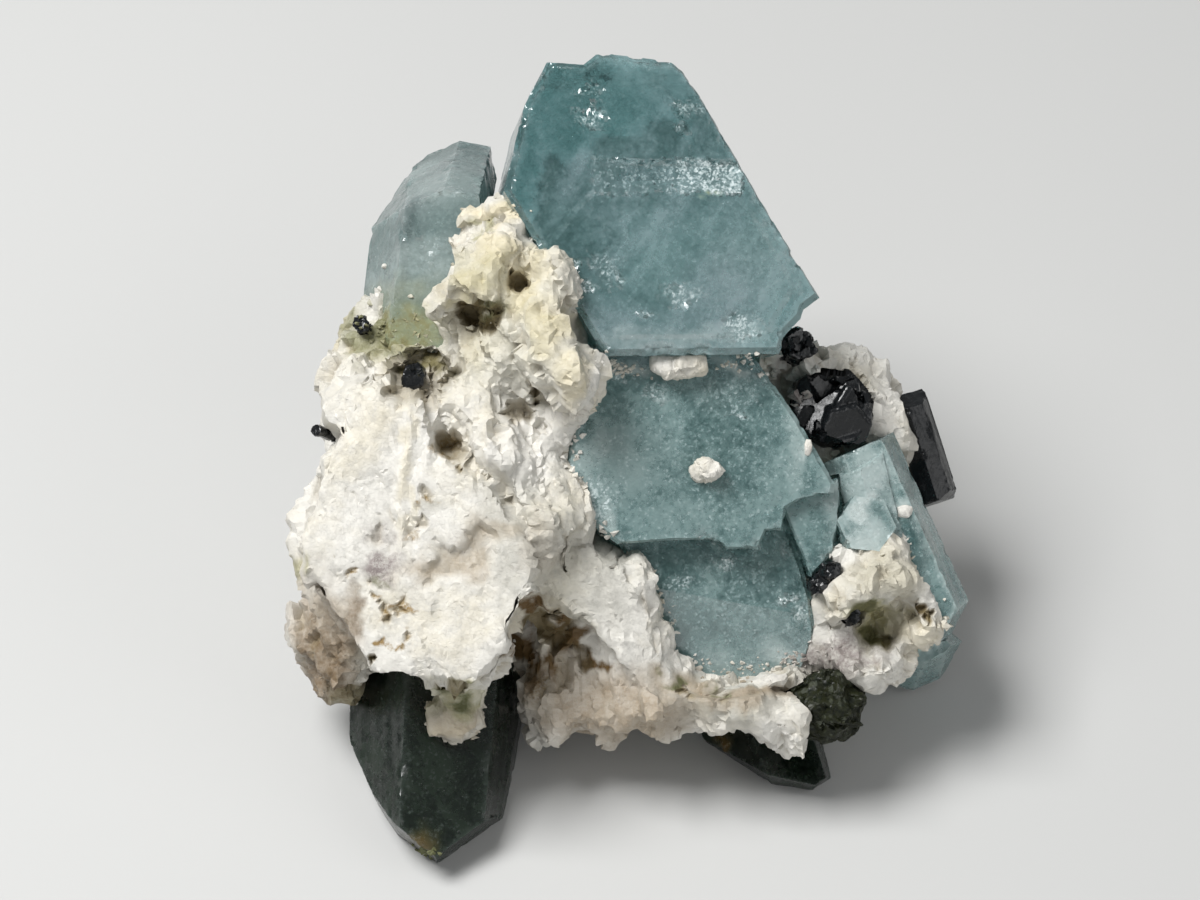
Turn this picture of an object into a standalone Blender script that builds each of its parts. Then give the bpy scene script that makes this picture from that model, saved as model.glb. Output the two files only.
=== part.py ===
"""An aquamarine specimen: stout beryl crystals in parallel growth on white albite with black schorl.

Lengths below are in millimetres and become metres in spot(). The specimen shows one side, and that
side leans back at DISPLAY_LEAN, so its pieces are placed in the frame of that side: `across` runs to
the right, `up` runs up the leaning side from the table's front edge, and `out` comes out of it.
"""

import math

import bmesh
import bpy
from mathutils import Matrix, Vector, noise

MM = 0.001
DISPLAY_LEAN = math.radians(45)
GAP = 0.3

# The world origin is under the middle of the specimen; this is where it lies in the display frame.
ORIGIN_ACROSS = -0.4
ORIGIN_DEPTH = 24.8

ACROSS = Vector((1, 0, 0))
UP = Vector((0, math.sin(DISPLAY_LEAN), math.cos(DISPLAY_LEAN)))
OUT = Vector((0, -math.cos(DISPLAY_LEAN), math.sin(DISPLAY_LEAN)))

# The c-axis that the parallel crystals share, in the display frame.
CLUSTER_AXIS = Vector((0.10, 0.05, 1.0)).normalized()


def turn(v):
    """A direction of the display frame, in world axes."""
    return ACROSS * v[0] + UP * v[1] + OUT * v[2]


def spot(v):
    """A point of the display frame in millimetres, as a world point in metres."""
    return (turn(v) - Vector((ORIGIN_ACROSS, ORIGIN_DEPTH, 0))) * MM


# ---------------------------------------------------------------- materials and objects


def material(name, color, roughness):
    made = bpy.data.materials.new(name)
    made.use_nodes = True
    shader = made.node_tree.nodes["Principled BSDF"]
    shader.inputs["Base Color"].default_value = (*color, 1)
    shader.inputs["Roughness"].default_value = roughness
    shader.inputs["Metallic"].default_value = 0.0
    made.diffuse_color = (*color, 1)
    return made


def new_object(name, bm, finish=None):
    """Puts a bmesh in display-frame millimetres into the scene, in world metres."""
    for vert in bm.verts:
        vert.co = spot(vert.co)
    bmesh.ops.recalc_face_normals(bm, faces=bm.faces)
    mesh = bpy.data.meshes.new(name)
    bm.to_mesh(mesh)
    bm.free()
    obj = bpy.data.objects.new(name, mesh)
    bpy.context.scene.collection.objects.link(obj)
    if finish:
        mesh.materials.append(finish)
    return obj


def helper(obj):
    """Marks an object as a cutter or a part of a union, which isn't a piece of its own."""
    obj.hide_render = True
    obj.display_type = "WIRE"
    return obj


def boolean(obj, operation, other):
    step = obj.modifiers.new(operation.title() + " " + other.name, "BOOLEAN")
    step.operation = operation
    step.solver = "EXACT"
    step.object = other


def boxes_meet(one, other):
    """Whether the boxes round two objects that stand at the world origin overlap."""
    lows = [Vector(obj.bound_box[0]) for obj in (one, other)]
    highs = [Vector(obj.bound_box[6]) for obj in (one, other)]
    return all(max(lows[0][i], lows[1][i]) < min(highs[0][i], highs[1][i]) for i in range(3))


def settle(obj):
    """Makes the modifiers' result the object's own mesh, and keeps only its largest body."""
    graph = bpy.context.evaluated_depsgraph_get()
    mesh = bpy.data.meshes.new_from_object(obj.evaluated_get(graph))
    obj.modifiers.clear()
    obj.data = mesh
    bm = bmesh.new()
    bm.from_mesh(mesh)
    bmesh.ops.remove_doubles(bm, verts=bm.verts, dist=1e-6)
    bmesh.ops.dissolve_degenerate(bm, edges=bm.edges, dist=1e-6)
    left = set(bm.faces)
    bodies = []
    while left:
        body = {left.pop()}
        front = list(body)
        while front:
            face = front.pop()
            for edge in face.edges:
                for other in edge.link_faces:
                    if other in left:
                        left.remove(other)
                        body.add(other)
                        front.append(other)
        bodies.append(body)
    bodies.sort(key=lambda body: sum(face.calc_area() for face in body))
    crumbs = [face for body in bodies[:-1] for face in body]
    bmesh.ops.delete(bm, geom=crumbs, context="FACES")
    bm.to_mesh(mesh)
    bm.free()
    return obj


# ---------------------------------------------------------------- crystal shapes


def outline_crystal(outline, out, length, bevel=0.5, slope=1.0, root=1.0, axis=CLUSTER_AXIS):
    """A prism that looks out of the display side: its end face has the given outline.

    The end face stands square to the axis, at height `out` in its middle. The bevel round it goes
    down by `bevel` and in by `slope` times that.
    """
    count = len(outline)
    mid = Vector((sum(p[0] for p in outline) / count, sum(p[1] for p in outline) / count))
    radius = sum((Vector(p) - mid).length for p in outline) / count
    rings = ((1 - bevel * slope / radius, 0.0), (1.0, bevel), (root, length))
    bm = bmesh.new()
    loops = []
    for scale, depth in rings:
        loop = []
        for p in outline:
            a, b = (Vector(p) - mid) * scale
            w = -(axis.x * a + axis.y * b) / axis.z
            point = Vector((mid.x + a, mid.y + b, out + w)) - axis * depth
            loop.append(bm.verts.new(point))
        loops.append(loop)
    bm.faces.new(loops[0])
    bm.faces.new(list(reversed(loops[-1])))
    for upper, lower in zip(loops, loops[1:]):
        for i in range(count):
            j = (i + 1) % count
            bm.faces.new((upper[i], lower[i], lower[j], upper[j]))
    return bm


def rod(foot, tip, foot_radius, tip_radius, roll=0.0, sides=6):
    """A many-sided prism from foot to tip, with its radii measured to its corners."""
    foot, tip = Vector(foot), Vector(tip)
    axis = (tip - foot).normalized()
    right = axis.cross(Vector((0, 0, 1))).normalized()
    toward = right.cross(axis)
    bm = bmesh.new()
    loops = []
    for centre, radius in ((foot, foot_radius), (tip, tip_radius)):
        loop = []
        for i in range(sides):
            angle = math.radians(roll) + 2 * math.pi * i / sides
            offset = right * math.cos(angle) + toward * math.sin(angle)
            loop.append(bm.verts.new(centre + offset * radius))
        loops.append(loop)
    bm.faces.new(loops[0])
    bm.faces.new(list(reversed(loops[1])))
    for i in range(sides):
        j = (i + 1) % sides
        bm.faces.new((loops[0][i], loops[1][i], loops[1][j], loops[0][j]))
    return bm


def blocks(co, size, slope):
    """Height of a surface broken into flat blocks of a size in millimetres, each tilted its own way."""
    near = noise.voronoi(co / size)[1][0]
    tilt = 2 * noise.cell_vector(near * 37.0) - Vector((1, 1, 1))
    return slope * tilt.dot(co - near * size)


def rough_ball(middle, half, size, slope):
    """An uneven lump, broken into flat blocks of a size in millimetres."""
    bm = bmesh.new()
    shape = Matrix.Translation(Vector(middle)) @ Matrix.Diagonal((*half, 1))
    bmesh.ops.create_icosphere(bm, subdivisions=3, radius=1.0, matrix=shape)
    bm.normal_update()
    moves = [vert.normal * blocks(vert.co, size, slope) for vert in bm.verts]
    for vert, move in zip(bm.verts, moves):
        vert.co += move
    return bm


def cut(bm, point, normal):
    """Cuts off what lies beyond a plane and closes the cut with a flat face."""
    geom = bm.verts[:] + bm.edges[:] + bm.faces[:]
    found = bmesh.ops.bisect_plane(
        bm, geom=geom, plane_co=Vector(point), plane_no=Vector(normal), clear_outer=True
    )
    rim = [item for item in found["geom_cut"] if isinstance(item, bmesh.types.BMEdge)]
    if rim:
        bmesh.ops.contextual_create(bm, geom=rim)
    return bm


def trim(bm, start, end, out, lean=0.0):
    """Cuts along the line from start to end at height `out`, removing what is on its left."""
    along = Vector((end[0] - start[0], end[1] - start[1], 0)).normalized()
    left = Vector((-along.y, along.x, 0))
    normal = left * math.cos(math.radians(lean)) + Vector((0, 0, 1)) * math.sin(math.radians(lean))
    return cut(bm, (start[0], start[1], out), normal)


def floor_cut(bm):
    """Cuts flat what would lie below the table: the plane where up + out is zero."""
    return cut(bm, (0, 0, 0), (0, -1, -1))


def grown(bm, by):
    """A copy of a convex solid with every face moved out by the same distance."""
    wide = bm.copy()
    bmesh.ops.recalc_face_normals(wide, faces=wide.faces)
    wide.normal_update()
    moves = [(vert, vert.normal * vert.calc_shell_factor() * by) for vert in wide.verts]
    for vert, move in moves:
        vert.co += move
    return wide


# ---------------------------------------------------------------- aquamarine

TOP_FACE = (
    (-6.5, 59.6), (-3.8, 59.4), (-2.9, 60.2), (-1.6, 60.2), (2.6, 59.7), (3.5, 59.0),
    (4.9, 57.0), (9.4, 49.3), (13.7, 42.2), (12.5, 41.3), (12.3, 40.6), (11.2, 39.5),
    (10.7, 38.0), (-2.2, 37.8), (-9.7, 50.0), (-8.2, 56.3),
)
RAISED_FACE = (
    (-5.6, 49.2), (-3.2, 51.4), (6.6, 51.6), (9.3, 49.0), (13.0, 42.6), (11.4, 40.2),
    (10.4, 38.4), (-1.9, 38.3), (-7.6, 46.4),
)
MIDDLE_FACE = (
    (-3.5, 38.5), (8.6, 38.4), (12.1, 33.4), (15.0, 28.4), (14.9, 27.7), (12.3, 27.2),
    (11.3, 26.6), (11.1, 24.9), (9.8, 24.9), (9.2, 23.5), (6.8, 23.5), (6.6, 23.8),
    (5.7, 24.2), (2.8, 24.2), (-1.3, 23.9), (-4.3, 26.2), (-5.2, 29.4), (-4.7, 32.4),
    (-3.4, 35.0),
)
LOWER_FACE = (
    (-2.5, 27.0), (11.0, 27.0), (11.8, 24.7), (12.9, 21.5), (13.4, 19.7), (13.6, 17.7),
    (12.4, 13.8), (3.8, 13.2), (1.6, 16.0), (1.2, 18.2), (0.6, 21.1), (-1.6, 24.4),
)
SIDE_FACET = (
    (10.9, 27.0), (12.4, 28.2), (15.3, 28.9), (15.4, 26.2), (14.8, 23.0), (13.2, 21.4), (12.0, 24.2),
)
TOP_OUT, RAISED_OUT, MIDDLE_OUT, LOWER_OUT, SIDE_OUT = 4.7, 5.0, 2.6, 0.2, 0.8


def cluster_parts():
    yield outline_crystal(TOP_FACE, TOP_OUT, 17.0, bevel=0.45, root=0.97)
    yield outline_crystal(RAISED_FACE, RAISED_OUT, 3.0, bevel=0.32, slope=4.5)
    yield outline_crystal(MIDDLE_FACE, MIDDLE_OUT, 17.0, bevel=0.35, root=0.98)
    lower = outline_crystal(LOWER_FACE, LOWER_OUT, 12.0, bevel=0.5, root=0.97)
    yield cut(lower, (7.0, 19.6, LOWER_OUT), (0.05, -0.22, 1))
    yield outline_crystal(SIDE_FACET, SIDE_OUT, 12.0, bevel=0.25, root=0.9)


def upper_left_parts():
    bm = rod((-15.6, 34.0, -6.5), (-13.2, 55.0, -4.5), 6.2, 6.0, roll=4)
    trim(bm, (-19.6, 48.6), (-17.2, 51.6), out=-6, lean=14)
    trim(bm, (-17.2, 51.6), (-13.8, 53.2), out=-6, lean=20)
    trim(bm, (-13.8, 53.2), (-11.3, 52.8), out=-6, lean=24)
    trim(bm, (-11.3, 52.8), (-10.5, 48.6), out=-6, lean=8)
    yield bm


def right_group_parts():
    prism = rod((16.7, 31.0, -3.6), (23.2, 16.4, -3.6), 3.3, 3.3, roll=8)
    trim(prism, (25.5, 19.6), (24.4, 17.9), out=-4, lean=12)
    yield prism
    frosted = rod((16.6, 31.2, -2.2), (18.6, 23.8, -1.4), 2.3, 2.0, roll=25)
    trim(frosted, (16.2, 29.8), (18.4, 31.0), out=-2, lean=18)
    yield frosted
    small = rod((16.2, 24.6, -5.0), (17.3, 25.4, 1.3), 2.1, 2.3, roll=12)
    yield small


def lower_right_parts():
    bm = rod((18.6, 19.0, -9.4), (24.0, 12.5, -8.6), 3.2, 3.6, roll=14)
    trim(bm, (24.4, 18.2), (25.3, 16.6), out=-8, lean=10)
    trim(bm, (25.3, 16.6), (23.8, 14.6), out=-8, lean=14)
    trim(bm, (23.8, 14.6), (22.0, 13.7), out=-8, lean=20)
    trim(bm, (22.0, 13.7), (19.8, 13.9), out=-8, lean=24)
    yield bm


def lower_left_parts():
    bm = rod((-14.6, 19.0, -9.0), (-15.6, -2.0, -1.6), 7.3, 6.2, roll=10)
    trim(bm, (-9.3, 8.6), (-9.9, 3.6), out=-3, lean=6)
    trim(bm, (-9.9, 3.6), (-12.8, 1.2), out=-1, lean=12)
    trim(bm, (-16.6, 1.0), (-18.3, 2.4), out=-1, lean=12)
    trim(bm, (-18.3, 2.4), (-19.8, 4.8), out=-2, lean=8)
    trim(bm, (-19.8, 4.8), (-21.9, 9.4), out=-3, lean=4)
    yield bm


def foot_parts():
    bm = rod((9.6, 10.0, -9.6), (12.4, 1.5, -4.6), 4.8, 4.4, roll=20)
    trim(bm, (14.3, 9.0), (15.0, 6.0), out=-5, lean=4)
    trim(bm, (15.0, 6.0), (13.6, 4.9), out=-5, lean=12)
    trim(bm, (13.6, 4.9), (10.4, 5.5), out=-5, lean=16)
    trim(bm, (10.4, 5.5), (6.5, 8.4), out=-5, lean=10)
    yield bm


# ---------------------------------------------------------------- schorl and mica


def big_schorl_parts():
    block = rod((14.6, 34.2, -8.5), (14.9, 34.2, -0.4), 3.2, 3.0, roll=8, sides=9)
    trim(block, (12.0, 36.1), (14.8, 36.7), out=-1, lean=22)
    cut(block, (13.6, 34.4, -1.2), (-0.35, 0.25, 1))
    yield block
    corner = rod((16.4, 34.0, -8.0), (16.7, 34.2, 0.2), 1.9, 1.6, roll=30, sides=7)
    cut(corner, (16.6, 33.6, -0.6), (0.5, -0.3, 1))
    yield corner
    wedge = rod((15.4, 33.6, -7.5), (15.9, 32.4, 0.4), 2.3, 1.9, roll=12, sides=6)
    cut(wedge, (16.0, 32.0, -0.5), (0.2, -0.5, 1))
    yield wedge


def rod_schorl_parts():
    bm = rod((20.7, 35.2, -9.8), (23.3, 26.8, -9.0), 1.9, 1.9, roll=12, sides=9)
    trim(bm, (19.4, 35.0), (21.6, 35.2), out=-9.6, lean=30)
    trim(bm, (24.8, 27.6), (23.0, 25.6), out=-9.2, lean=18)
    yield bm


def top_schorl_parts():
    yield rod((11.6, 38.6, -6.0), (12.6, 38.9, -1.0), 1.5, 1.3, roll=10, sides=6)


def twin_schorl_parts():
    yield rod((13.5, 21.0, -2.5), (13.7, 20.9, 1.6), 0.85, 0.75, roll=10, sides=6)
    yield rod((14.2, 21.6, -2.5), (14.6, 21.9, 2.2), 0.85, 0.8, roll=30, sides=6)


def cavity_schorl_parts():
    yield rod((15.9, 18.2, -2.0), (16.3, 18.6, 1.6), 0.75, 0.65, roll=0, sides=6)


def left_schorl_parts():
    yield rod((-20.0, 39.4, -4.5), (-20.6, 40.4, -0.2), 0.8, 0.7, roll=20, sides=6)


def shadow_schorl_parts():
    yield rod((-16.0, 37.0, -5.0), (-16.6, 36.2, 2.6), 1.2, 0.9, roll=15, sides=7)


def bead_schorl_parts():
    yield rod((-22.4, 31.9, -2.5), (-23.9, 32.4, 1.4), 0.6, 0.55, roll=0, sides=8)


def mica_parts():
    yield rough_ball((14.4, 11.6, -0.4), (2.9, 2.8, 3.2), 1.8, 0.5)


def ridge_crust_parts():
    yield rough_ball((3.2, 37.1, 3.5), (2.1, 0.85, 0.9), 1.1, 0.4)


def dot_crust_parts():
    yield rough_ball((5.3, 29.4, 3.1), (1.2, 0.95, 0.8), 1.0, 0.4)


# ---------------------------------------------------------------- albite matrix

# Each lump is a middle (across, up, out) and three half-widths.
LUMPS = (
    # the left side, from the top down
    ((-11.1, 43.4, 2.6), (4.6, 3.7, 6.0)),
    ((-6.6, 40.2, 3.2), (3.1, 5.6, 6.0)),
    ((-4.9, 36.6, 4.6), (2.6, 3.4, 4.5)),
    ((-17.6, 39.6, -4.0), (4.6, 3.2, 4.0)),
    ((-20.0, 33.9, -2.0), (3.8, 5.2, 6.0)),
    ((-20.6, 28.2, -1.5), (3.4, 4.2, 5.0)),
    ((-15.6, 31.6, 0.5), (6.4, 7.2, 6.0)),
    ((-10.1, 31.6, 1.5), (5.6, 8.4, 6.0)),
    ((-6.2, 25.4, 2.4), (3.6, 4.6, 5.0)),
    ((-16.6, 20.6, -0.5), (6.2, 5.4, 5.5)),
    ((-22.6, 22.4, -1.5), (2.9, 4.2, 4.0)),
    ((-22.9, 16.6, -4.0), (2.8, 4.8, 3.6)),
    ((-13.3, 11.3, -0.5), (2.4, 2.1, 2.6)),
    ((-13.4, 14.2, -0.8), (1.9, 3.0, 2.6)),
    # under and round the terraces
    ((-2.6, 14.6, -3.4), (5.8, 5.2, 5.4)),
    ((-5.6, 11.2, -1.6), (2.9, 2.4, 3.4)),
    ((-1.9, 11.0, -0.6), (3.2, 2.6, 3.6)),
    ((2.6, 11.8, 0.2), (3.2, 2.5, 3.4)),
    ((1.0, 17.5, -5.0), (6.5, 6.0, 5.0)),
    ((7.6, 12.2, -0.2), (3.8, 2.2, 3.6)),
    ((10.4, 10.8, 0.0), (2.8, 2.4, 3.6)),
    ((13.6, 15.0, -3.4), (3.6, 2.6, 3.6)),
    # the right side
    ((15.4, 19.6, 0.0), (2.4, 2.6, 4.0)),
    ((18.8, 21.4, 0.2), (3.8, 2.2, 4.0)),
    ((21.2, 18.8, 0.0), (1.7, 2.2, 3.6)),
    ((21.4, 16.9, -1.6), (2.2, 1.0, 3.0)),
    ((17.0, 14.7, -1.6), (3.0, 1.9, 4.0)),
    ((17.6, 18.0, -3.4), (4.6, 3.6, 4.0)),
    ((11.0, 38.0, -4.4), (3.0, 1.3, 3.6)),
    ((14.6, 37.1, -4.8), (3.0, 1.5, 3.8)),
    ((17.4, 36.2, -5.4), (2.0, 1.4, 3.8)),
    ((19.2, 33.8, -6.4), (1.3, 2.6, 3.8)),
    ((18.6, 32.0, -9.0), (3.2, 4.6, 3.4)),
    # the body behind the display side
    ((-4.0, 29.0, -11.0), (17.0, 17.0, 12.0)),
    ((0.5, 44.6, -13.6), (10.4, 10.8, 6.6)),
    ((-15.0, 38.0, -11.0), (5.6, 7.0, 4.6)),
    ((11.0, 26.0, -9.0), (9.5, 12.5, 8.0)),
    ((-1.0, 29.0, -20.0), (16.0, 12.0, 13.0)),
)

# Each plate is an outline (across, up), the height and facing of its flat front, and its thickness.
PLATES = (
    (
        (
            (-25.0, 23.8), (-23.9, 27.2), (-22.6, 30.6), (-15.6, 31.6), (-10.6, 26.6), (-7.6, 18.9),
            (-9.0, 16.0), (-11.4, 13.7), (-18.6, 13.8), (-21.3, 16.8), (-24.1, 21.4),
        ),
        6.4, (-0.16, 0.10, 1.0), 8.0,
    ),
    (
        (
            (-5.6, 24.0), (-2.6, 24.0), (-0.8, 22.0), (1.0, 19.0), (1.9, 16.0), (4.6, 13.0),
            (3.6, 11.6), (0.6, 13.0), (-2.1, 15.8), (-4.7, 19.2), (-6.6, 21.4),
        ),
        3.3, (0.12, -0.06, 1.0), 7.0,
    ),
)

# Each hollow is a middle, a radius and a depth.
HOLLOWS = (
    ((-14.0, 31.2, 6.5), 2.2, 2.8),
    ((-7.6, 34.4, 7.5), 2.8, 3.4),
    ((-16.2, 36.6, 1.0), 3.4, 3.8),
    ((-12.2, 41.4, 5.0), 2.0, 2.4),
    ((-8.6, 43.0, 7.0), 1.6, 2.0),
    ((17.6, 17.9, 2.2), 2.2, 2.0),
    ((-8.0, 17.6, 4.5), 2.4, 3.0),
    ((-5.2, 15.6, 2.5), 2.4, 1.8),
    ((-9.6, 23.2, 6.5), 2.4, 1.4),
    ((-20.8, 17.4, 3.0), 1.5, 2.2),
)

GRAIN = 0.8  # the size of the voxels that join the lumps
MATRIX_FACES = 6900  # before the crystals are cut out of it

# The albite's ridges: their width, how far they rise, and the noise's own mean height.
RIDGE_WIDTH = 7.7
RIDGE_RISE = 0.7
RIDGE_MEAN = 1.35
# The blocks it breaks into: size and slope.
COARSE_BLOCKS = (5.2, 0.5)
FINE_BLOCKS = (2.6, 0.36)
FINE_OFFSET = Vector((9, 4, 7))
# The blades stand along `up`, so the pattern is squeezed across and stretched up.
GROWTH = Vector((1.3, 0.75, 1.0))

TABLE_BLOCK = Vector((90, 90, 20))


def lump_mesh():
    """All lumps and plates as one mesh of bodies that still cross each other."""
    bm = bmesh.new()
    for middle, half in LUMPS:
        shape = Matrix.Translation(Vector(middle)) @ Matrix.Diagonal((*half, 1))
        bmesh.ops.create_icosphere(bm, subdivisions=4, radius=1.0, matrix=shape)
    mesh = bpy.data.meshes.new("plate")
    for outline, out, facing, length in PLATES:
        axis = Vector(facing).normalized()
        plate = outline_crystal(outline, out, length, bevel=1.2, slope=0.9, root=0.7, axis=axis)
        bmesh.ops.recalc_face_normals(plate, faces=plate.faces)
        plate.to_mesh(mesh)
        plate.free()
        bm.from_mesh(mesh)
    bpy.data.meshes.remove(mesh)
    return bm


def roughen(bm):
    """Breaks the lumps up into blades, ledges and hollows."""
    bm.normal_update()
    moves = []
    for vert in bm.verts:
        co = vert.co
        stretched = co * GROWTH
        ridges = noise.ridged_multi_fractal(stretched / RIDGE_WIDTH, 1.0, 2.0, 2, 1.0, 2.0)
        lift = RIDGE_RISE * (ridges - RIDGE_MEAN)
        lift += blocks(stretched, *COARSE_BLOCKS) + blocks(stretched + FINE_OFFSET, *FINE_BLOCKS)
        move = vert.normal * lift
        for middle, radius, depth in HOLLOWS:
            share = (co - Vector(middle)).length / (radius * 1.6)
            if share < 1:
                move -= Vector((0, 0, 1)) * depth * (1 - share * share) ** 2
        moves.append(move)
    for vert, move in zip(bm.verts, moves):
        vert.co += move


def remesh(obj, size):
    """Makes one closed skin round whatever the object's mesh holds, from voxels of a size."""
    skin = obj.modifiers.new("One skin", "REMESH")
    skin.mode = "VOXEL"
    skin.voxel_size = size * MM
    settle(obj)


def build_matrix(finish, cutters):
    obj = new_object("albite_matrix", lump_mesh(), finish)
    remesh(obj, GRAIN)
    bm = bmesh.new()
    bm.from_mesh(obj.data)
    origin = Vector((ORIGIN_ACROSS, ORIGIN_DEPTH, 0))
    for vert in bm.verts:
        world = vert.co / MM + origin
        vert.co = Vector((world.dot(ACROSS), world.dot(UP), world.dot(OUT)))
    roughen(bm)
    for vert in bm.verts:
        vert.co = spot(vert.co)
    bm.to_mesh(obj.data)
    bm.free()
    remesh(obj, GRAIN)
    thin = obj.modifiers.new("Fewer faces", "DECIMATE")
    thin.ratio = MATRIX_FACES / (2 * len(obj.data.polygons))
    settle(obj)
    boolean(obj, "DIFFERENCE", table_block())
    for cutter in cutters:
        boolean(obj, "DIFFERENCE", cutter)
    return settle(obj)


def table_block():
    """The space under the table's surface, which cuts the matrix's rest face flat."""
    obj = bpy.data.objects.new("table_block", bpy.data.meshes.new("table_block"))
    bpy.context.scene.collection.objects.link(obj)
    size = TABLE_BLOCK * MM
    bm = bmesh.new()
    shape = Matrix.Translation((0, 0, -size.z / 2)) @ Matrix.Diagonal((*size, 1))
    bmesh.ops.create_cube(bm, size=1.0, matrix=shape)
    bm.to_mesh(obj.data)
    bm.free()
    return helper(obj)


# ---------------------------------------------------------------- the specimen

PIECES = (
    ("aquamarine_cluster", cluster_parts, "aquamarine"),
    ("upper_left_crystal", upper_left_parts, "pale aquamarine"),
    ("right_crystal_group", right_group_parts, "aquamarine"),
    ("lower_right_crystal", lower_right_parts, "aquamarine"),
    ("lower_left_crystal", lower_left_parts, "deep aquamarine"),
    ("foot_crystal", foot_parts, "deep aquamarine"),
    ("schorl_big", big_schorl_parts, "schorl"),
    ("schorl_rod", rod_schorl_parts, "schorl"),
    ("schorl_top", top_schorl_parts, "schorl"),
    ("schorl_twin", twin_schorl_parts, "schorl"),
    ("schorl_cavity", cavity_schorl_parts, "schorl"),
    ("schorl_left", left_schorl_parts, "schorl"),
    ("schorl_shadow", shadow_schorl_parts, "schorl"),
    ("schorl_bead", bead_schorl_parts, "schorl"),
    ("mica_lump", mica_parts, "mica"),
    ("albite_crust_ridge", ridge_crust_parts, "albite"),
    ("albite_crust_dot", dot_crust_parts, "albite"),
)
FINISHES = {
    "aquamarine": ((0.36, 0.58, 0.62), 0.15),
    "pale aquamarine": ((0.55, 0.68, 0.68), 0.3),
    "deep aquamarine": ((0.16, 0.30, 0.29), 0.2),
    "schorl": ((0.012, 0.013, 0.014), 0.25),
    "mica": ((0.16, 0.17, 0.12), 0.4),
    "albite": ((0.82, 0.78, 0.70), 0.8),
}


def clear_scene():
    for obj in list(bpy.data.objects):
        bpy.data.objects.remove(obj, do_unlink=True)


def build_piece(name, parts, finish, earlier):
    """Joins the parts of a piece into one solid that stops short of the pieces made before it.

    Returns the solid and its clearance cutters, which the pieces made after it stop short of.
    """
    body, cutters = None, []
    for number, bm in enumerate(parts()):
        floor_cut(bm)
        cutters.append(helper(new_object(f"{name}_clearance_{number}", grown(bm, GAP))))
        if body is None:
            body = new_object(name, bm, finish)
        else:
            boolean(body, "UNION", helper(new_object(f"{name}_part_{number}", bm)))
    settle(body)
    for cutter in earlier:
        if boxes_meet(body, cutter):
            boolean(body, "DIFFERENCE", cutter)
    settle(body)
    return body, cutters


def main():
    clear_scene()
    finishes = {name: material(name, *look) for name, look in FINISHES.items()}
    cutters = []
    for name, parts, finish in PIECES:
        cutters += build_piece(name, parts, finishes[finish], cutters)[1]
    build_matrix(finishes["albite"], cutters)


main()
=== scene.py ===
# %% [markdown]
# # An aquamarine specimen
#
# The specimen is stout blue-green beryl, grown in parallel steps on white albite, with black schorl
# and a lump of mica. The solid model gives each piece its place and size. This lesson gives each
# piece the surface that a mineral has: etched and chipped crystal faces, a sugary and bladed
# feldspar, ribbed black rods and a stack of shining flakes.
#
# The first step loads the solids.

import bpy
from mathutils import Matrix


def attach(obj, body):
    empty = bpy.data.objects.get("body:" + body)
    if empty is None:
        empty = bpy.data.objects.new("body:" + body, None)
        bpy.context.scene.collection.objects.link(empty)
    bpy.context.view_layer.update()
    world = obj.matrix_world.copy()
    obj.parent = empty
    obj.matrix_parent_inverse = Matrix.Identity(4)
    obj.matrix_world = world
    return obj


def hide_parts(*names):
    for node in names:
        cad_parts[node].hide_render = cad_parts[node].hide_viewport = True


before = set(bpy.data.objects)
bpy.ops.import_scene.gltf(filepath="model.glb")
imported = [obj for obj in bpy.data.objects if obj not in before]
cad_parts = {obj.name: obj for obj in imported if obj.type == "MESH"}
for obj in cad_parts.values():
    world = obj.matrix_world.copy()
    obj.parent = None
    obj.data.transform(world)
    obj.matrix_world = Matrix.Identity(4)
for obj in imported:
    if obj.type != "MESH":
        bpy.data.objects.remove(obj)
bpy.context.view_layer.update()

# %% [markdown]
# ## The frame of the display side
#
# The specimen shows one side, which leans back at 45 degrees on the table. Placing a stain or a
# pit is easiest in that side's own frame: `across` to the right, `up` along the leaning side and
# `out` towards the viewer, in millimetres. Two matrices lead from world metres to it and back.

# %% The display frame
import math

import bmesh
import bpy
import numpy as np
from mathutils import Matrix, Vector, noise
from mathutils.bvhtree import BVHTree
from mathutils.kdtree import KDTree

MM = 0.001
LEAN = math.radians(45)
# The shift in millimetres that brings the foot of the display side to the frame's origin.
ORIGIN = Vector((-0.4, 24.8, 0.0))

ACROSS = Vector((1, 0, 0))
UP = Vector((0, math.sin(LEAN), math.cos(LEAN)))
OUT = Vector((0, -math.cos(LEAN), math.sin(LEAN)))

to_display = Matrix((ACROSS, UP, OUT)).to_4x4() @ Matrix.Translation(ORIGIN) @ Matrix.Scale(1 / MM, 4)
to_world = to_display.inverted()
print("the world origin in the display frame:", to_display.translation)


def spot(across, up, out):
    """A point of the display frame, in world metres."""
    return to_world @ Vector((across, up, out))


# %% [markdown]
# ## Camera
#
# A small specimen is shown with a long lens, so that its faces keep their proportions. A short
# lens, close by, would make the near faces too big. The camera looks straight at the display side.

# %% Camera
VIEW_MIDDLE = (-2.625, 30.9)  # across and up
VIEW_DISTANCE = 300.0
LENS, FILM = 120, 36  # millimetres

lens = bpy.data.cameras.new("specimen_lens")
lens.lens = LENS
lens.sensor_width = FILM
lens.clip_start = 0.01
camera = bpy.data.objects.new("specimen_camera", lens)
bpy.context.scene.collection.objects.link(camera)
turned = Matrix((ACROSS, UP, OUT)).transposed().to_4x4()
camera.matrix_world = Matrix.Translation(spot(*VIEW_MIDDLE, VIEW_DISTANCE)) @ turned
bpy.context.scene.camera = camera
print("camera at", camera.matrix_world.translation)

# %% [markdown]
# ## Finishes from nodes
#
# The finish of a mineral is a network of nodes: noise that is stretched, mixed and fed to a shader.
# The nodes could be linked one by one, at several lines each. This helper adds a node, feeds its
# sockets and gives back its output in one call. Every pattern is laid out by the place in
# millimetres, so a size in this script is a size on the stone and no pattern has a seam.

# %% A helper for finishes


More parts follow.
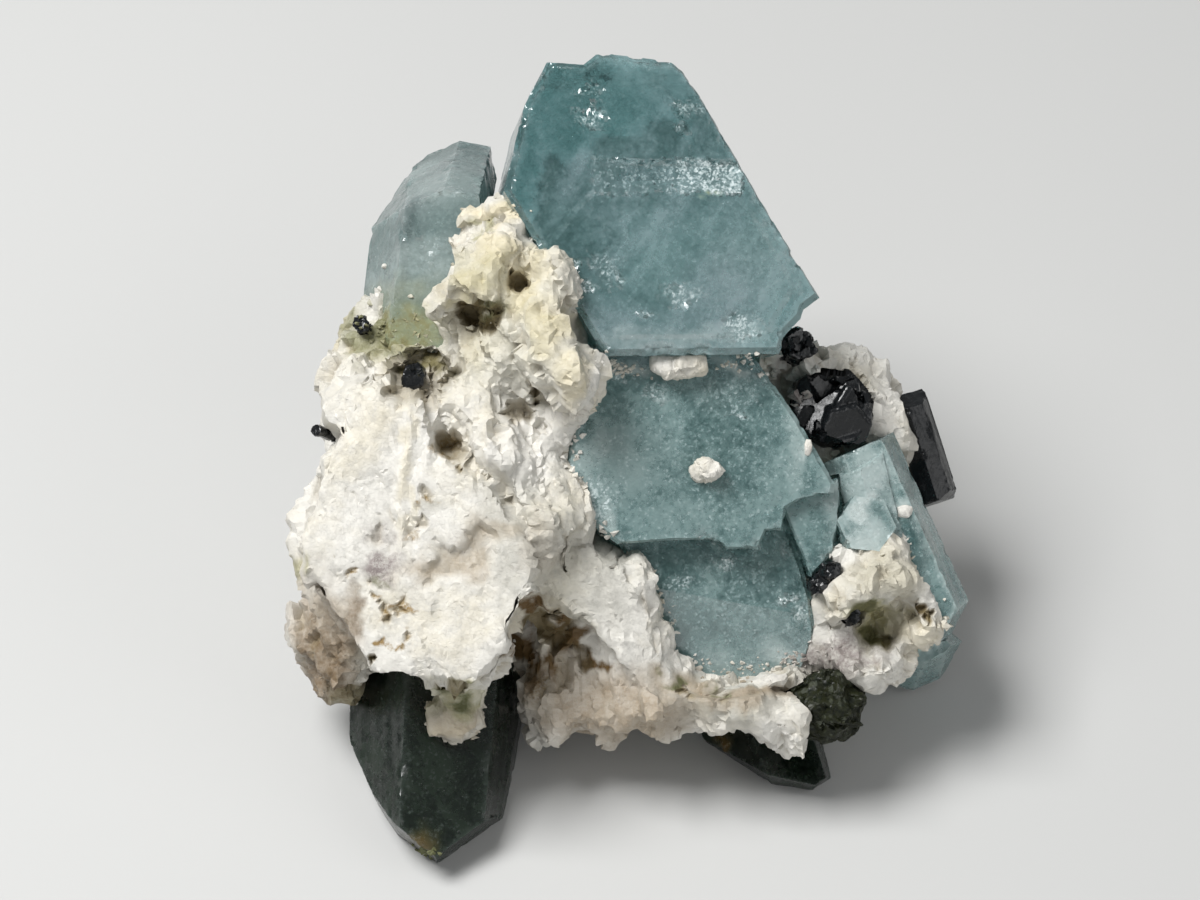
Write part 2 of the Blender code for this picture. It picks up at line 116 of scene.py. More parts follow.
class Finish:
    """A material whose nodes are added by plain calls. `place` is the display frame in millimetres."""

    def __init__(self, name):
        self.material = bpy.data.materials.new(name)
        self.material.use_nodes = True
        self.tree = self.material.node_tree
        self.shader = self.tree.nodes["Principled BSDF"]
        self.output = self.tree.nodes["Material Output"]
        where = self.add("TexCoord")
        scaled = self.add("Mapping", Vector=where.outputs["Object"])
        scaled.inputs["Scale"].default_value = (1 / MM,) * 3
        scaled.inputs["Rotation"].default_value = (-LEAN, 0, 0)
        scaled.inputs["Location"].default_value = to_display.translation
        self.place = scaled.outputs[0]

    def feed(self, socket, value):
        """Links an output to a socket, or sets its value."""
        if isinstance(value, bpy.types.NodeSocket):
            self.tree.links.new(value, socket)
        elif isinstance(value, tuple) and socket.type == "RGBA":
            socket.default_value = (*value[:3], 1)
        else:
            socket.default_value = value

    def add(self, kind, settings=(), **inputs):
        """A new node with these settings, its inputs fed by name with _ for a space."""
        node = self.tree.nodes.new("ShaderNode" + kind)
        for name, value in dict(settings).items():
            setattr(node, name, value)
        for name, value in inputs.items():
            self.feed(node.inputs[name.replace("_", " ")], value)
        return node

    def calc(self, operation, *values):
        node = self.add("Math", {"operation": operation})
        for socket, value in zip(node.inputs, values):
            self.feed(socket, value)
        return node.outputs[0]

    def times(self, value, factor, plus=None):
        """`value` times `factor`, plus a third number where there is one."""
        if plus is None:
            return self.calc("MULTIPLY", value, factor)
        return self.calc("MULTIPLY_ADD", value, factor, plus)

    def vector(self, operation, *values):
        node = self.add("VectorMath", {"operation": operation})
        for socket, value in zip(node.inputs, values):
            self.feed(socket, value)
        return node.outputs["Value" if operation == "DOT_PRODUCT" else "Vector"]

    def noise(self, size, detail=4.0, rough=0.55, place=None, warp=0.0):
        """Cloudy noise from 0 to 1 whose features are about `size` millimetres across."""
        place = place or self.place
        shape = {"Detail": detail, "Roughness": rough, "Distortion": warp}
        return self.add("TexNoise", Vector=place, Scale=1 / size, **shape).outputs["Fac"]

    def ramp(self, value, low, high, start=0.0, end=1.0):
        """`value` stretched so that low..high becomes start..end, held at the ends."""
        limits = {"From_Min": low, "From_Max": high, "To_Min": start, "To_Max": end}
        return self.add("MapRange", Value=value, **limits).outputs[0]

    def soft(self, value, low, high):
        """`value` from low to high brought to 0 to 1, levelling off towards both ends."""
        smooth = {"interpolation_type": "SMOOTHSTEP"}
        return self.add("MapRange", smooth, Value=value, From_Min=low, From_Max=high).outputs[0]

    def mix(self, share, first, second):
        """The first color where the share is 0, the second where it is 1."""
        node = self.add("Mix", {"data_type": "RGBA"})
        for number, value in ((0, share), (6, first), (7, second)):  # the color sockets are 6 and 7
            self.feed(node.inputs[number], value)
        return node.outputs[2]

    def stretched(self, turn, long):
        """The place, with patterns drawn out `long` times along a line `turn` degrees from upright."""
        upright = {"rotation_type": "Z_AXIS"}
        turned = self.add("VectorRotate", upright, Vector=self.place, Angle=math.radians(turn))
        return self.vector("MULTIPLY", turned.outputs[0], (1, 1 / long, 1))

    def facets(self, size, slope):
        """Height of a surface broken into flat facets of a size, each tilted its own way."""
        cells = self.add("TexVoronoi", Vector=self.place, Scale=1 / size)
        tilt = self.vector("SUBTRACT", cells.outputs["Color"], (0.5,) * 3)
        middle = self.vector("MULTIPLY", cells.outputs["Position"], (size,) * 3)
        away = self.vector("SUBTRACT", self.place, middle)
        return self.times(self.vector("DOT_PRODUCT", tilt, away), slope)

    def mark(self, name):
        """A number that the mesh carries at each point, such as how deep a pit is."""
        return self.add("Attribute", {"attribute_name": name}).outputs["Fac"]

    def bump(self, height, strength):
        """Turns a height in millimetres into shading."""
        node = self.add("Bump", Height=height, Strength=strength, Distance=MM)
        self.feed(self.shader.inputs["Normal"], node.outputs[0])

    def set(self, **inputs):
        """Feeds the shader's own inputs."""
        for name, value in inputs.items():
            self.feed(self.shader.inputs[name.replace("_", " ")], value)

    def absorb(self, color, density):
        """Light that passes through takes this color, the more of it the thicker the crystal is."""
        volume = self.add("VolumeAbsorption", Color=color, Density=density)
        self.feed(self.output.inputs["Volume"], volume.outputs[0])


print("a finish starts from the place in millimetres, turned by", math.degrees(LEAN), "degrees")

# %% [markdown]
# ## Floor and light
#
# Every finish shows on a floor and under lamps, so these come before the pieces. The floor is a
# plain pale sheet. A large soft lamp high on the left shapes the crystals, and two weak ones keep
# the shadow side readable. Small hard lamps would put sharp glints on every face. Lamps that are
# broad for their distance give soft edges to the shadows, as a studio's softboxes do.

# %% Floor
FLOOR_GREY = (0.50, 0.50, 0.49)
FLOOR_HALF = 1.5  # metres

floor_finish = Finish("pale_floor")
floor_finish.set(Base_Color=FLOOR_GREY, Roughness=0.9)
floor_mesh = bmesh.new()
bmesh.ops.create_grid(floor_mesh, x_segments=1, y_segments=1, size=FLOOR_HALF)
floor_data = bpy.data.meshes.new("floor")
floor_mesh.to_mesh(floor_data)
floor_mesh.free()
floor = bpy.data.objects.new("floor", floor_data)
bpy.context.scene.collection.objects.link(floor)
floor_data.materials.append(floor_finish.material)
print("floor:", tuple(floor.dimensions), "metres")

# %% Lamps
ROOM_COLOR = (0.75, 0.78, 0.80, 1)
ROOM_LIGHT = 0.28


def lamp(name, direction, distance, size, power):
    """A square lamp, in metres and watts, that faces the specimen from a direction of the frame."""
    data = bpy.data.lights.new(name, "AREA")
    data.size = size
    data.energy = power
    made = bpy.data.objects.new(name, data)
    bpy.context.scene.collection.objects.link(made)
    away = Vector(direction).normalized() * distance
    place = spot(*(Vector((*VIEW_MIDDLE, 0)) + away / MM))
    facing = (place - spot(*VIEW_MIDDLE, 0)).to_track_quat("Z", "Y").to_matrix().to_4x4()
    made.matrix_world = Matrix.Translation(place) @ facing


lamp("key_lamp", direction=(-0.55, 0.78, 0.78), distance=0.42, size=0.20, power=2.6)
lamp("fill_lamp", direction=(1.0, 0.1, 0.8), distance=0.50, size=0.35, power=0.50)
lamp("front_lamp", direction=(0.1, -0.6, 1.0), distance=0.55, size=0.30, power=0.50)

world = bpy.data.worlds.new("soft_room")
world.use_nodes = True
world.node_tree.nodes["Background"].inputs["Color"].default_value = ROOM_COLOR
world.node_tree.nodes["Background"].inputs["Strength"].default_value = ROOM_LIGHT
bpy.context.scene.world = world
bpy.context.scene.view_settings.view_transform = "Standard"

# %% [markdown]
# ## Reading a solid and handing over a finished piece
#
# Every piece starts from its solid, so it stays where the solid is. `solid_mesh` reads one into the
# display frame in millimetres and joins its faces again where they were only split into triangles.
# `hand_over` puts a finished mesh back into the world, lets it ride on the specimen, gives it its
# finish and hides the solid that it stands for.

# %% From a solid to a mesh
SAME_POINT = 1e-4
FLAT = math.radians(0.3)  # triangles that bend less than this are one face
CREASE = math.radians(6)  # faces that bend more than this meet in a sharp edge


def solid_mesh(node):
    """The mesh of a solid in the display frame, with its sharp edges marked."""
    bm = bmesh.new()
    bm.from_mesh(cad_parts[node].data)
    bm.transform(to_display)
    bmesh.ops.remove_doubles(bm, verts=bm.verts, dist=SAME_POINT)
    bmesh.ops.dissolve_limit(bm, angle_limit=FLAT, verts=bm.verts, edges=bm.edges)
    for edge in bm.edges:
        edge.smooth = edge.calc_face_angle(0) < CREASE
    return bm


print("solids to dress:", len(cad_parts))

# %% Hand over a finished piece
CORNER = math.radians(28)  # a finished mesh is smooth up to this bend
pieces = []


def hand_over(name, bm, finish, slot, *nodes, marks=None):
    """Puts a finished mesh into the world as a piece of the specimen. `marks` are numbers per point."""
    bmesh.ops.triangulate(bm, faces=bm.faces)
    bm.transform(to_world)
    mesh = bpy.data.meshes.new(name)
    bm.to_mesh(mesh)
    creases = [edge.index for edge in bm.edges if not edge.smooth]
    bm.free()
    for mark, numbers in (marks or {}).items():
        mesh.attributes.new(mark, "FLOAT", "POINT").data.foreach_set("value", numbers)
    mesh.shade_smooth()
    mesh.set_sharp_from_angle(angle=CORNER)
    for crease in creases:
        mesh.edges[crease].use_edge_sharp = True
    mesh.materials.append(finish)
    piece = bpy.data.objects.new(name, mesh)
    bpy.context.scene.collection.objects.link(piece)
    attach(piece, "root")
    if nodes:
        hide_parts(*nodes)
    pieces.append(piece)
    print(f"{name}: {len(mesh.polygons)} triangles")


print("a bend of", round(math.degrees(CORNER)), "degrees stays sharp")

# %% [markdown]
# ## Marks by place
#
# Much of what the eye sees is local: a cloudy corner, a frosty ledge, a rusty hole. Each is written
# down as a soft oval spot on the display side, and every point of a mesh works out how far inside
# such spots it lies. The mesh carries the answers as named numbers, and the finishes read them.
# A real outline is never a clean oval, so the points are first shifted by a little noise.

# %% Soft spots
NOISE_SEED = 12
SPOT_END = 1.25  # where a spot ends, in half widths
SPOT_FADE = 0.9  # how much of that is its fading rim
noise.seed_set(NOISE_SEED)  # without a seed the noise would differ from run to run


def places_of(bm):
    return np.array([vert.co for vert in bm.verts])


def normals_of(bm):
    bm.normal_update()
    return np.array([vert.normal for vert in bm.verts])


def shaken(points, size, amount):
    """The points, each moved by noise whose waves are about `size` millimetres long."""
    return points + np.array([noise.noise_vector(Vector(point) / size) for point in points]) * amount


def soft_spots(points, spots):
    """How strongly each point lies in the spots (across, up, half width, half height, strength)."""
    share = np.zeros(len(points))
    for across, up, wide, high, strength in spots:
        away = np.hypot((points[:, 0] - across) / wide, (points[:, 1] - up) / high)
        inside = np.clip((SPOT_END - away) / SPOT_FADE, 0, 1)
        share = np.maximum(share, strength * inside * inside * (3 - 2 * inside))
    return share


def share_of(value, low, high):
    """0 below low, 1 above high, and a smooth rise between."""
    share = min(1.0, max(0.0, (value - low) / (high - low)))
    return share * share * (3 - 2 * share)


trial = soft_spots(np.array([(0, 0), (0.8, 0), (1.6, 0)]), ((0, 0, 1, 1, 1),))
print("a spot at its middle, near its rim and outside:", trial.round(2))

# %% [markdown]
# ## Crystal faces
#
# A crystal is flat faces that meet in straight edges. A smoothed or sculpted mesh would lose that,
# so the solid's own faces are kept and only cut into a fine grid by parallel planes. Then each
# point can sink a little. What grew on the faces decides how far: low steps and pits on the end
# faces, ribs along the axis on the sides, and small chips along the outer edges.

# %% Cut a solid's faces finer
CUT_SHIFT = 0.37  # a share of a step, so that no cut runs through a corner of the solid
ON_PLANE = 1e-5


def sliced(bm, step):
    """Cuts every face along a grid of planes `step` apart, and keeps the edges where they are."""
    for axis in range(3):
        normal = Vector([float(i == axis) for i in range(3)])
        low = min(vert.co[axis] for vert in bm.verts)
        high = max(vert.co[axis] for vert in bm.verts)
        for cut in range(1, int((high - low) / step) + 1):
            point = normal * (low + (cut - CUT_SHIFT) * step)
            geom = bm.verts[:] + bm.edges[:] + bm.faces[:]
            bmesh.ops.bisect_plane(bm, geom=geom, dist=ON_PLANE, plane_co=point, plane_no=normal)
    bmesh.ops.triangulate(bm, faces=bm.faces)
    return bm


trial = solid_mesh("foot_crystal")
print("faces of the foot crystal:", len(trial.faces), "and cut 1 mm apart:", len(sliced(trial, 1.0).faces))

# %% Find what is near an edge
OUTER_EDGE = math.radians(20)
EDGE_SPACING = 0.15


def outer_edges(bm):
    """A tree of points along the sharp outward edges of a solid, to find what lies near them."""
    found = []
    for edge in bm.edges:
        if edge.is_manifold and edge.is_convex and edge.calc_face_angle() > OUTER_EDGE:
            start, end = (vert.co for vert in edge.verts)
            count = max(1, int((end - start).length / EDGE_SPACING))
            found += [start.lerp(end, i / count) for i in range(count + 1)]
    tree = KDTree(len(found))
    for number, point in enumerate(found):
        tree.insert(point, number)
    tree.balance()
    return tree


near_edge = outer_edges(trial).find((0, 30, 0))
print("the nearest edge of the foot crystal is", round(near_edge[2], 1), "mm from the middle")
trial.free()

# %% [markdown]
# ## Where the crystals are cloudy, clear, frosted, milky or rusty
#
# Clouds lie inside the crystal, frost and milk on its skin, and rust where the matrix touches it.
# Some of the milk is painted light that lifts places in shade.
# One noise for the whole crystal would spread them evenly. The tables say where each really is.
# Every row is a soft spot: across, up, half width, half height and strength.

# %% Cloudy and clear spots
CLOUDY_SPOTS = (
    (8.5, 43.0, 8.5, 9.0, 0.65), (1.5, 47.6, 4.0, 2.2, 0.6), (-1.5, 59.0, 4.0, 1.6, 0.4),
    (2.5, 44.5, 3.5, 2.5, 0.6), (0.0, 40.2, 6.0, 2.6, 0.75), (-2.5, 29.5, 4.6, 5.0, 1.0),
    (4.9, 25.8, 6.0, 2.4, 0.7), (2.2, 32.2, 1.3, 3.2, 0.7), (11.6, 31.5, 2.2, 4.0, 0.4),
    (6.5, 14.4, 6.5, 2.4, 0.3), (10.5, 17.4, 2.6, 2.6, 0.5), (14.2, 25.5, 2.6, 3.6, 0.4),
    (17.0, 23.8, 2.2, 2.2, 1.0), (17.0, 28.5, 2.6, 4.0, 1.0), (20.3, 26.3, 0.9, 0.9, 1.0),
    (23.6, 22.0, 0.8, 6.0, 0.8), (-14.0, 49.0, 4.0, 4.0, 0.6), (1.5, 38.4, 9.0, 0.9, 0.3),
    (22.6, 15.6, 2.6, 2.6, 0.8),
)
CLEAR_SPOTS = (
    (-8.6, 52.0, 1.2, 7.0, 1.2), (-4.2, 56.2, 6.0, 4.4, 1.2), (3.8, 54.6, 3.6, 3.0, 0.4),
    (-5.6, 47.5, 3.2, 6.5, 0.35), (5.6, 34.6, 4.2, 3.4, 0.3), (-0.2, 33.4, 2.6, 2.4, 0.1),
    (4.4, 21.2, 6.5, 3.0, 0.25), (3.6, 17.8, 4.0, 1.6, 0.3), (13.2, 21.4, 1.8, 2.4, 0.6),
    (20.0, 28.0, 1.3, 1.2, 1.0), (21.3, 22.6, 1.5, 3.2, 1.0),
)
print("cloudy and clear spots:", len(CLOUDY_SPOTS), len(CLEAR_SPOTS))

# %% Frosted, milky and rusty spots
# Frost spots are frosted skin, and the finish also paints glints where they are.
FROST_SPOTS = (
    (-3.3, 57.3, 1.1, 0.8, 0.3), (-3.3, 55.4, 1.2, 0.8, 0.45), (3.9, 56.1, 1.2, 0.7, 0.45),
    (3.5, 54.6, 0.5, 0.4, 0.5), (-15.2, 46.4, 1.6, 0.8, 0.15), (-15.8, 44.8, 0.6, 0.5, 0.2),
    (-4.6, 44.7, 0.6, 0.6, 0.5), (-2.2, 44.3, 1.4, 1.5, 0.35), (-3.8, 42.8, 0.7, 0.5, 0.7),
    (-1.1, 43.5, 0.4, 0.5, 0.5), (3.3, 42.4, 1.8, 0.9, 0.4), (8.0, 40.0, 1.6, 1.3, 0.5),
    (0.5, 40.8, 0.8, 0.3, 0.55), (1.7, 35.0, 0.9, 0.6, 0.6), (7.0, 34.8, 2.8, 2.0, 0.3),
    (7.8, 33.4, 0.5, 0.4, 0.7), (-1.3, 36.5, 0.5, 0.6, 0.6), (-3.0, 27.0, 2.0, 2.4, 0.42),
    (5.0, 30.0, 8.0, 6.0, 0.15), (7.0, 20.5, 6.0, 3.0, 0.18), (3.5, 21.1, 1.5, 0.6, 0.45),
    (6.6, 22.4, 1.0, 0.6, 0.6), (12.6, 18.6, 0.8, 1.0, 0.6), (11.6, 19.6, 1.1, 0.4, 0.9),
    (16.6, 27.0, 2.6, 3.6, 0.22),
)
MILK_AND_PAINTED_LIGHT_SPOTS = (
    (17.0, 23.6, 2.3, 2.2, 0.85), (16.8, 29.0, 2.6, 3.6, 0.65), (12.4, 15.0, 3.4, 1.8, 0.8),
    (7.5, 14.0, 5.0, 1.2, 0.45), (14.6, 17.0, 1.6, 1.4, 0.8), (20.3, 26.3, 0.9, 0.9, 0.9),
    # Painted light: the weak milk on the left of the middle terrace and the strong milk under the top
    # crystal's lower edge lift places that lie in shade.
    (12.0, 32.0, 1.2, 3.4, 0.4), (-3.6, 30.5, 1.2, 3.0, 0.45), (-2.0, 30.0, 2.6, 3.6, 0.15),
    (12.9, 31.1, 0.7, 1.1, 0.8), (-2.2, 26.0, 1.0, 2.0, 0.5), (-0.5, 37.0, 2.6, 0.8, 0.9),
    (7.6, 37.2, 2.0, 0.6, 0.8), (-14.5, 51.5, 4.5, 2.5, 0.35), (-16.5, 44.5, 4.0, 2.5, 0.45),
    (-9.4, 47.0, 0.8, 3.0, 0.5), (5.0, 13.0, 6.0, 1.0, 0.5), (9.0, 44.5, 4.5, 5.0, 0.12),
    (2.0, 39.0, 8.5, 1.2, 0.35), (17.8, 26.2, 0.7, 1.6, 1.0), (-17.5, 43.5, 4.5, 1.6, 0.45),
    (22.0, 24.5, 1.4, 5.0, 0.5), (22.6, 15.4, 2.6, 2.6, 0.4),
)
RUSTY_SPOTS = (
    (-17.5, 39.6, 5.0, 2.8, 1.0), (-17.0, 42.4, 4.4, 1.8, 0.5), (-16.2, 1.6, 1.6, 1.4, 0.7),
    (6.9, 8.6, 0.8, 1.0, 1.0), (5.6, 49.7, 0.9, 0.25, 1.0),
)
print("frosted, milky and rusty spots:", len(FROST_SPOTS), len(MILK_AND_PAINTED_LIGHT_SPOTS), len(RUSTY_SPOTS))

# %% The ledge
# The frosted ledge that crosses the top crystal: its lower and upper edge and its two ends.
LEDGE_UP = (49.9, 52.1)
LEDGE_ACROSS = (-2.6, 7.6)
LEDGE_DROP = 0.35


def ledge(across, up):
    """0 outside the frosted ledge; inside, from just above 0 at its lower edge to 1 at its upper edge."""
    low, high = LEDGE_UP
    start, end = LEDGE_ACROSS
    ends = share_of(across, start - 0.5, start + 2.5) * (1 - share_of(across, end - 0.1, end + 0.4))
    return ends * (up - low) / (high - low) if low < up < high else 0.0


print("the ledge along its middle:", [round(ledge(across, 51), 2) for across in (-3, 0, 3, 7, 9)])

# %% [markdown]
# ## Relief of crystal faces
#
# The end of a beryl grows in low steps and is etched into small pits, and its sides have fine ribs
# along the axis. Displacement in the finish could show that, but the mesh itself would stay flat.
# So the points of the mesh sink, each by its own height.

# %% Relief of the faces
STEP_HEIGHT = 0.05
PIT_SPACING = 1.5
PIT_DEPTH = 0.09
RIB_DEPTHS = (0.07, 0.05)
FROST_DEPTH = 0.06
CRUST_RISE = 0.4
END_FACING = 0.8  # a face that looks along the axis more than this is an end


def end_relief(co):
    """How far an end face has sunk: broad growth steps, shallow etch pits and one ledge."""
    level = noise.noise(co * 0.16) * 4.0 + noise.noise(co * 0.7) * 0.5
    steps = STEP_HEIGHT * abs(level - math.floor(level) - 0.5)
    near, _ = noise.voronoi(co * PIT_SPACING)
    patchy = max(0.0, noise.noise(co * 0.3 + Vector((5, 3, 1))) + 0.15)
    pit = max(0.0, 1 - near[0] * 2.6) ** 2 * PIT_DEPTH * patchy
    return steps + pit + LEDGE_DROP * ledge(co.x, co.y + 0.25 * noise.noise(co * 0.9))


def side_relief(co, axis):
    """How far a side face has sunk: coarse and fine ribs that run along the axis."""
    across_axis = co - axis * co.dot(axis) * 0.96
    coarse, fine = RIB_DEPTHS
    return coarse * abs(noise.noise(across_axis * 1.1)) + fine * abs(noise.noise(across_axis * 3.1))


print("an end has sunk by", round(end_relief(Vector((3, 45, 8))), 3), "mm in one place")

# %% Weather a crystal


def shift(bm, moves):
    for vert, move in zip(bm.verts, moves):
        vert.co += move


def raise_by(height, bm):
    """Moves each point along its normal by its own height."""
    bm.normal_update()
    shift(bm, [vert.normal * height(vert) for vert in bm.verts])


def weathered(bm, edges, axis, frost, crust, chip=0.35, reach=0.5):
    """Sinks the points of a crystal by its relief and breaks small chips out of its edges."""
    moves = []
    for vert, frosted, crusted in zip(bm.verts, frost, crust):
        co = vert.co
        facing = abs(vert.normal.dot(axis))
        sunk = end_relief(co) if facing > END_FACING else side_relief(co, axis)
        sunk += FROST_DEPTH * frosted * abs(noise.noise(co * 2.4))
        sunk -= CRUST_RISE * crusted * abs(noise.noise(co * 1.4))
        _, _, distance = edges.find(co)
        if distance < reach:
            broken = noise.noise(co * 0.9) + 0.5 * noise.noise(co * 2.7) - 0.12
            sunk += chip * max(0.0, broken) * (1 - distance / reach)
        moves.append(vert.normal * -sunk)
    shift(bm, moves)


trial = solid_mesh("foot_crystal")
weathered(trial, outer_edges(trial), OUT, *np.zeros((2, len(trial.verts))))
print("weathered corners of the foot crystal:", len(trial.verts))
trial.free()

# %% What the finish of a crystal needs to know
# The pale line along an edge is partly wear and partly a painted highlight.
EDGE_WIDTH = 0.45  # of the worn line along an edge
GREEN_BELOW = 38.5  # the lower terraces are a little greener


def crystal_marks(bm, edges, lined, glints):
    """Numbers for each point. `lined` is how white the edges are, worn and with a painted highlight, and
    `glints` how frosted the worn edges are, which breaks them finely and puts painted glints on them.
    """
    points = places_of(bm)
    front = np.clip(normals_of(bm)[:, 2] * 3, 0, 1)
    loose = shaken(points, 3.0, 1.6)
    loose = shaken(loose, 0.7, 0.5)
    near_edge = np.array([max(0.0, 1 - edges.find(point)[2] / EDGE_WIDTH) for point in points])
    wear = np.array([noise.noise(Vector(point) * 1.3) for point in points])
    worn = near_edge * np.clip(wear + 0.5, 0, 1)
    half_loose = loose * (1, 1, 0) * 0.35 + points * (0.65, 0.65, 1)
    ledges = np.array([ledge(*point[:2]) > 0 for point in half_loose])
    # On the ledge the frost, and so its painted glints, grows towards the right.
    ledge_frost_and_glint = 0.22 + 0.5 * np.clip((points[:, 0] - 1.5) / 4.0, 0, 1)
    frost = np.maximum(soft_spots(shaken(points, 1.2, 0.5), FROST_SPOTS), ledges * ledge_frost_and_glint)
    clouds = soft_spots(loose, CLOUDY_SPOTS) - soft_spots(loose, CLEAR_SPOTS)
    green = np.clip((GREEN_BELOW - loose[:, 1]) / 3.0, 0, 1)
    # Near the outer edges the color is paler and milkier: partly wear, partly a painted highlight.
    return {
        "cloudy": 0.38 + front * (0.15 + 0.32 * clouds + 0.14 * green) + 0.2 * near_edge,
        "frost": np.maximum(np.maximum(frost * front, glints * worn), 0.3 * lined * near_edge**2),
        "green": green,
        "milk_and_painted_light": np.maximum(front * soft_spots(loose, MILK_AND_PAINTED_LIGHT_SPOTS), lined * near_edge**1.3),
        "rust": front * soft_spots(shaken(points, 1.0, 0.8), RUSTY_SPOTS),
    }


trial = solid_mesh("foot_crystal")
print("a crystal is marked", ", ".join(crystal_marks(trial, outer_edges(trial), 0.1, 0.1)))
trial.free()

# %% [markdown]
# ## The finish of beryl
#
# Aquamarine is clear blue-green beryl with clouds and veils of tiny fluid pockets. The clear part is
# plain transmission with beryl's refractive index, and the light that passes takes its color from
# absorption. Real clouds could scatter light inside, but that renders slowly and with much noise.
# So they let less light through and show as paler color on the surface. Frosted places are many
# small broken facets in the relief, and their glints are painted into the color as white cells and flecks.

# %% Beryl
BERYL_INDEX = 1.58
# The white of frost, and of the glints painted over it.
FROST_AND_GLINT_WHITE = (0.72, 0.80, 0.80)
# The color of milk, and of the painted light on edges and shaded places.
MILK_AND_PAINTED_LIGHT_COLOR = (0.57, 0.65, 0.63)
LAVENDER = (1.12, 0.985, 1.02)
GREENER = (1.05, 1.02, 0.97)
OLIVE = (0.28, 0.29, 0.155)
OCHRE = (0.19, 0.15, 0.06)


def beryl(
    name, deep, pale, density,
    clear=(0.94, 0.5), rough=(0.08, 0.30), veil=(30, 0.4), rust=(OLIVE, OCHRE), painted_specks=1.0, gloss=0.5,
):
    """From the deep color of clear places to the pale color of cloudy ones. `clear` and `rough` give
    the transmission and roughness of the two, and `veil` the turn and strength of the veils."""
    made = Finish(name)
    frost = made.mark("frost")
    broad = made.noise(5.0, detail=3, rough=0.5, warp=0.4)
    grain = made.noise(0.45, detail=3, rough=0.65)
    turn, strength = veil
    streaks = made.noise(2.4, detail=4, rough=0.6, place=made.stretched(turn, 5.0))
    veils = made.ramp(streaks, 0.50, 0.78)
    shade = made.times(made.calc("SUBTRACT", broad, 0.5), 0.40, made.mark("cloudy"))
    mottled = made.times(made.mark("green"), 0.4, 0.6)
    shade = made.times(made.calc("SUBTRACT", grain, 0.5), mottled, shade)
    patches = made.noise(1.3, detail=3, rough=0.7)
    shade = made.times(made.calc("SUBTRACT", patches, 0.5), mottled, shade)
    shade = made.soft(made.times(veils, strength, shade), -0.15, 1.25)
    # Painted glints: white cells and flecks painted into the color where the surface is frosted, and a few
    # elsewhere.
    cells = made.add("TexVoronoi", Vector=made.place, Scale=5.0).outputs["Color"]
    flecks = made.noise(0.16, detail=2, rough=0.6)
    glitter = made.times(cells, 0.6, made.times(flecks, 0.8))
    painted_glint = made.ramp(made.times(frost, 0.34, glitter), 0.82, 1.18)
    painted_glint = made.times(painted_glint, made.ramp(frost, 0.02, 0.4, 0.25, 1.0))
    # A few painted glint specks everywhere, more on the green terraces.
    speckled = made.times(made.mark("green"), 0.3 * painted_specks, 0.12 * painted_specks)
    painted_glint = made.calc("MAXIMUM", painted_glint, made.times(made.ramp(glitter, 0.86, 1.0), speckled))
    # The color: clear to cloudy, then milk with some painted light, rust, and frost with its painted glints
    # on top.
    greyer = tuple(part * share for part, share in zip(pale, LAVENDER))
    greener = tuple(part * share for part, share in zip(pale, GREENER))
    hue = made.mix(made.ramp(made.noise(8.0, detail=1), 0.40, 0.65), pale, greyer)
    body = made.mix(shade, deep, made.mix(made.mark("green"), hue, greener))
    milky = made.times(made.mark("milk_and_painted_light"), made.ramp(grain, 0.2, 0.6, 0.7, 1.0))
    body = made.mix(milky, body, MILK_AND_PAINTED_LIGHT_COLOR)
    rusted = made.times(made.mark("rust"), made.ramp(patches, 0.3, 0.6, 0.65, 1.0))
    body = made.mix(rusted, body, made.mix(made.ramp(patches, 0.50, 0.75, 0.0, 0.7), *rust))
    body = made.mix(made.times(painted_glint, 0.75, made.times(frost, 0.25)), body, FROST_AND_GLINT_WHITE)
    # How much light goes through, and the fine relief.
    through = made.ramp(shade, 0.0, 1.0, *clear)
    through = made.times(through, made.ramp(painted_glint, 0, 1, 1, 0.3))
    solid = made.calc("MAXIMUM", made.mark("rust"), made.times(made.mark("milk_and_painted_light"), 0.6))
    through = made.times(through, made.ramp(solid, 0, 1, 1, 0.2))
    made.set(Base_Color=body, Transmission_Weight=through)
    made.set(Roughness=made.ramp(shade, 0.1, 0.9, *rough))
    made.set(IOR=BERYL_INDEX, Specular_IOR_Level=gloss)
    uneven = made.times(made.facets(0.34, 1.0), made.ramp(frost, 0, 1, 0.02, 0.13))
    etched = made.times(grain, made.times(made.mark("green"), 0.03, 0.014))
    made.bump(made.calc("ADD", etched, uneven), strength=0.6)
    made.absorb(deep, density)
    return made.material


aquamarine = beryl("aquamarine", (0.118, 0.308, 0.313), (0.298, 0.452, 0.467), density=34)
pale_aquamarine = beryl(
    "pale_aquamarine", (0.13, 0.22, 0.215), (0.265, 0.35, 0.34), density=36,
    clear=(0.8, 0.35), veil=(75, 0.35),
)
# The deep finish is darker than the crystals' own green: it paints in the shade that the overhanging matrix
# casts on both dark crystals.
deep_aquamarine = beryl(
    "deep_aquamarine", (0.008, 0.024, 0.013), (0.024, 0.052, 0.028), density=600,
    clear=(0.97, 0.78), rough=(0.14, 0.30), veil=(-35, 0.9),
    rust=((0.16, 0.10, 0.035), (0.07, 0.05, 0.02)), painted_specks=0.06, gloss=0.05,
)
print("nodes in the finish of aquamarine:", len(aquamarine.node_tree.nodes))

# %% [markdown]
# ## The crystals
#
# Six pieces are beryl: the terraced cluster, the pale crystal at the upper left, the group and the
# blunt end at the right, and two dark ones that reach the table. The dark ones take a much denser
# absorption and a near-black color, because they are deep green rather than pale blue and because
# their color also paints in the shade under the overhanging matrix. Each crystal grew along its own
# axis, which tells its ends from its sides.

# %% Crystals
FINE_STEP = 0.3
STEP = 0.4
CLUSTER_AXIS = Vector((0.10, 0.05, 1.0)).normalized()


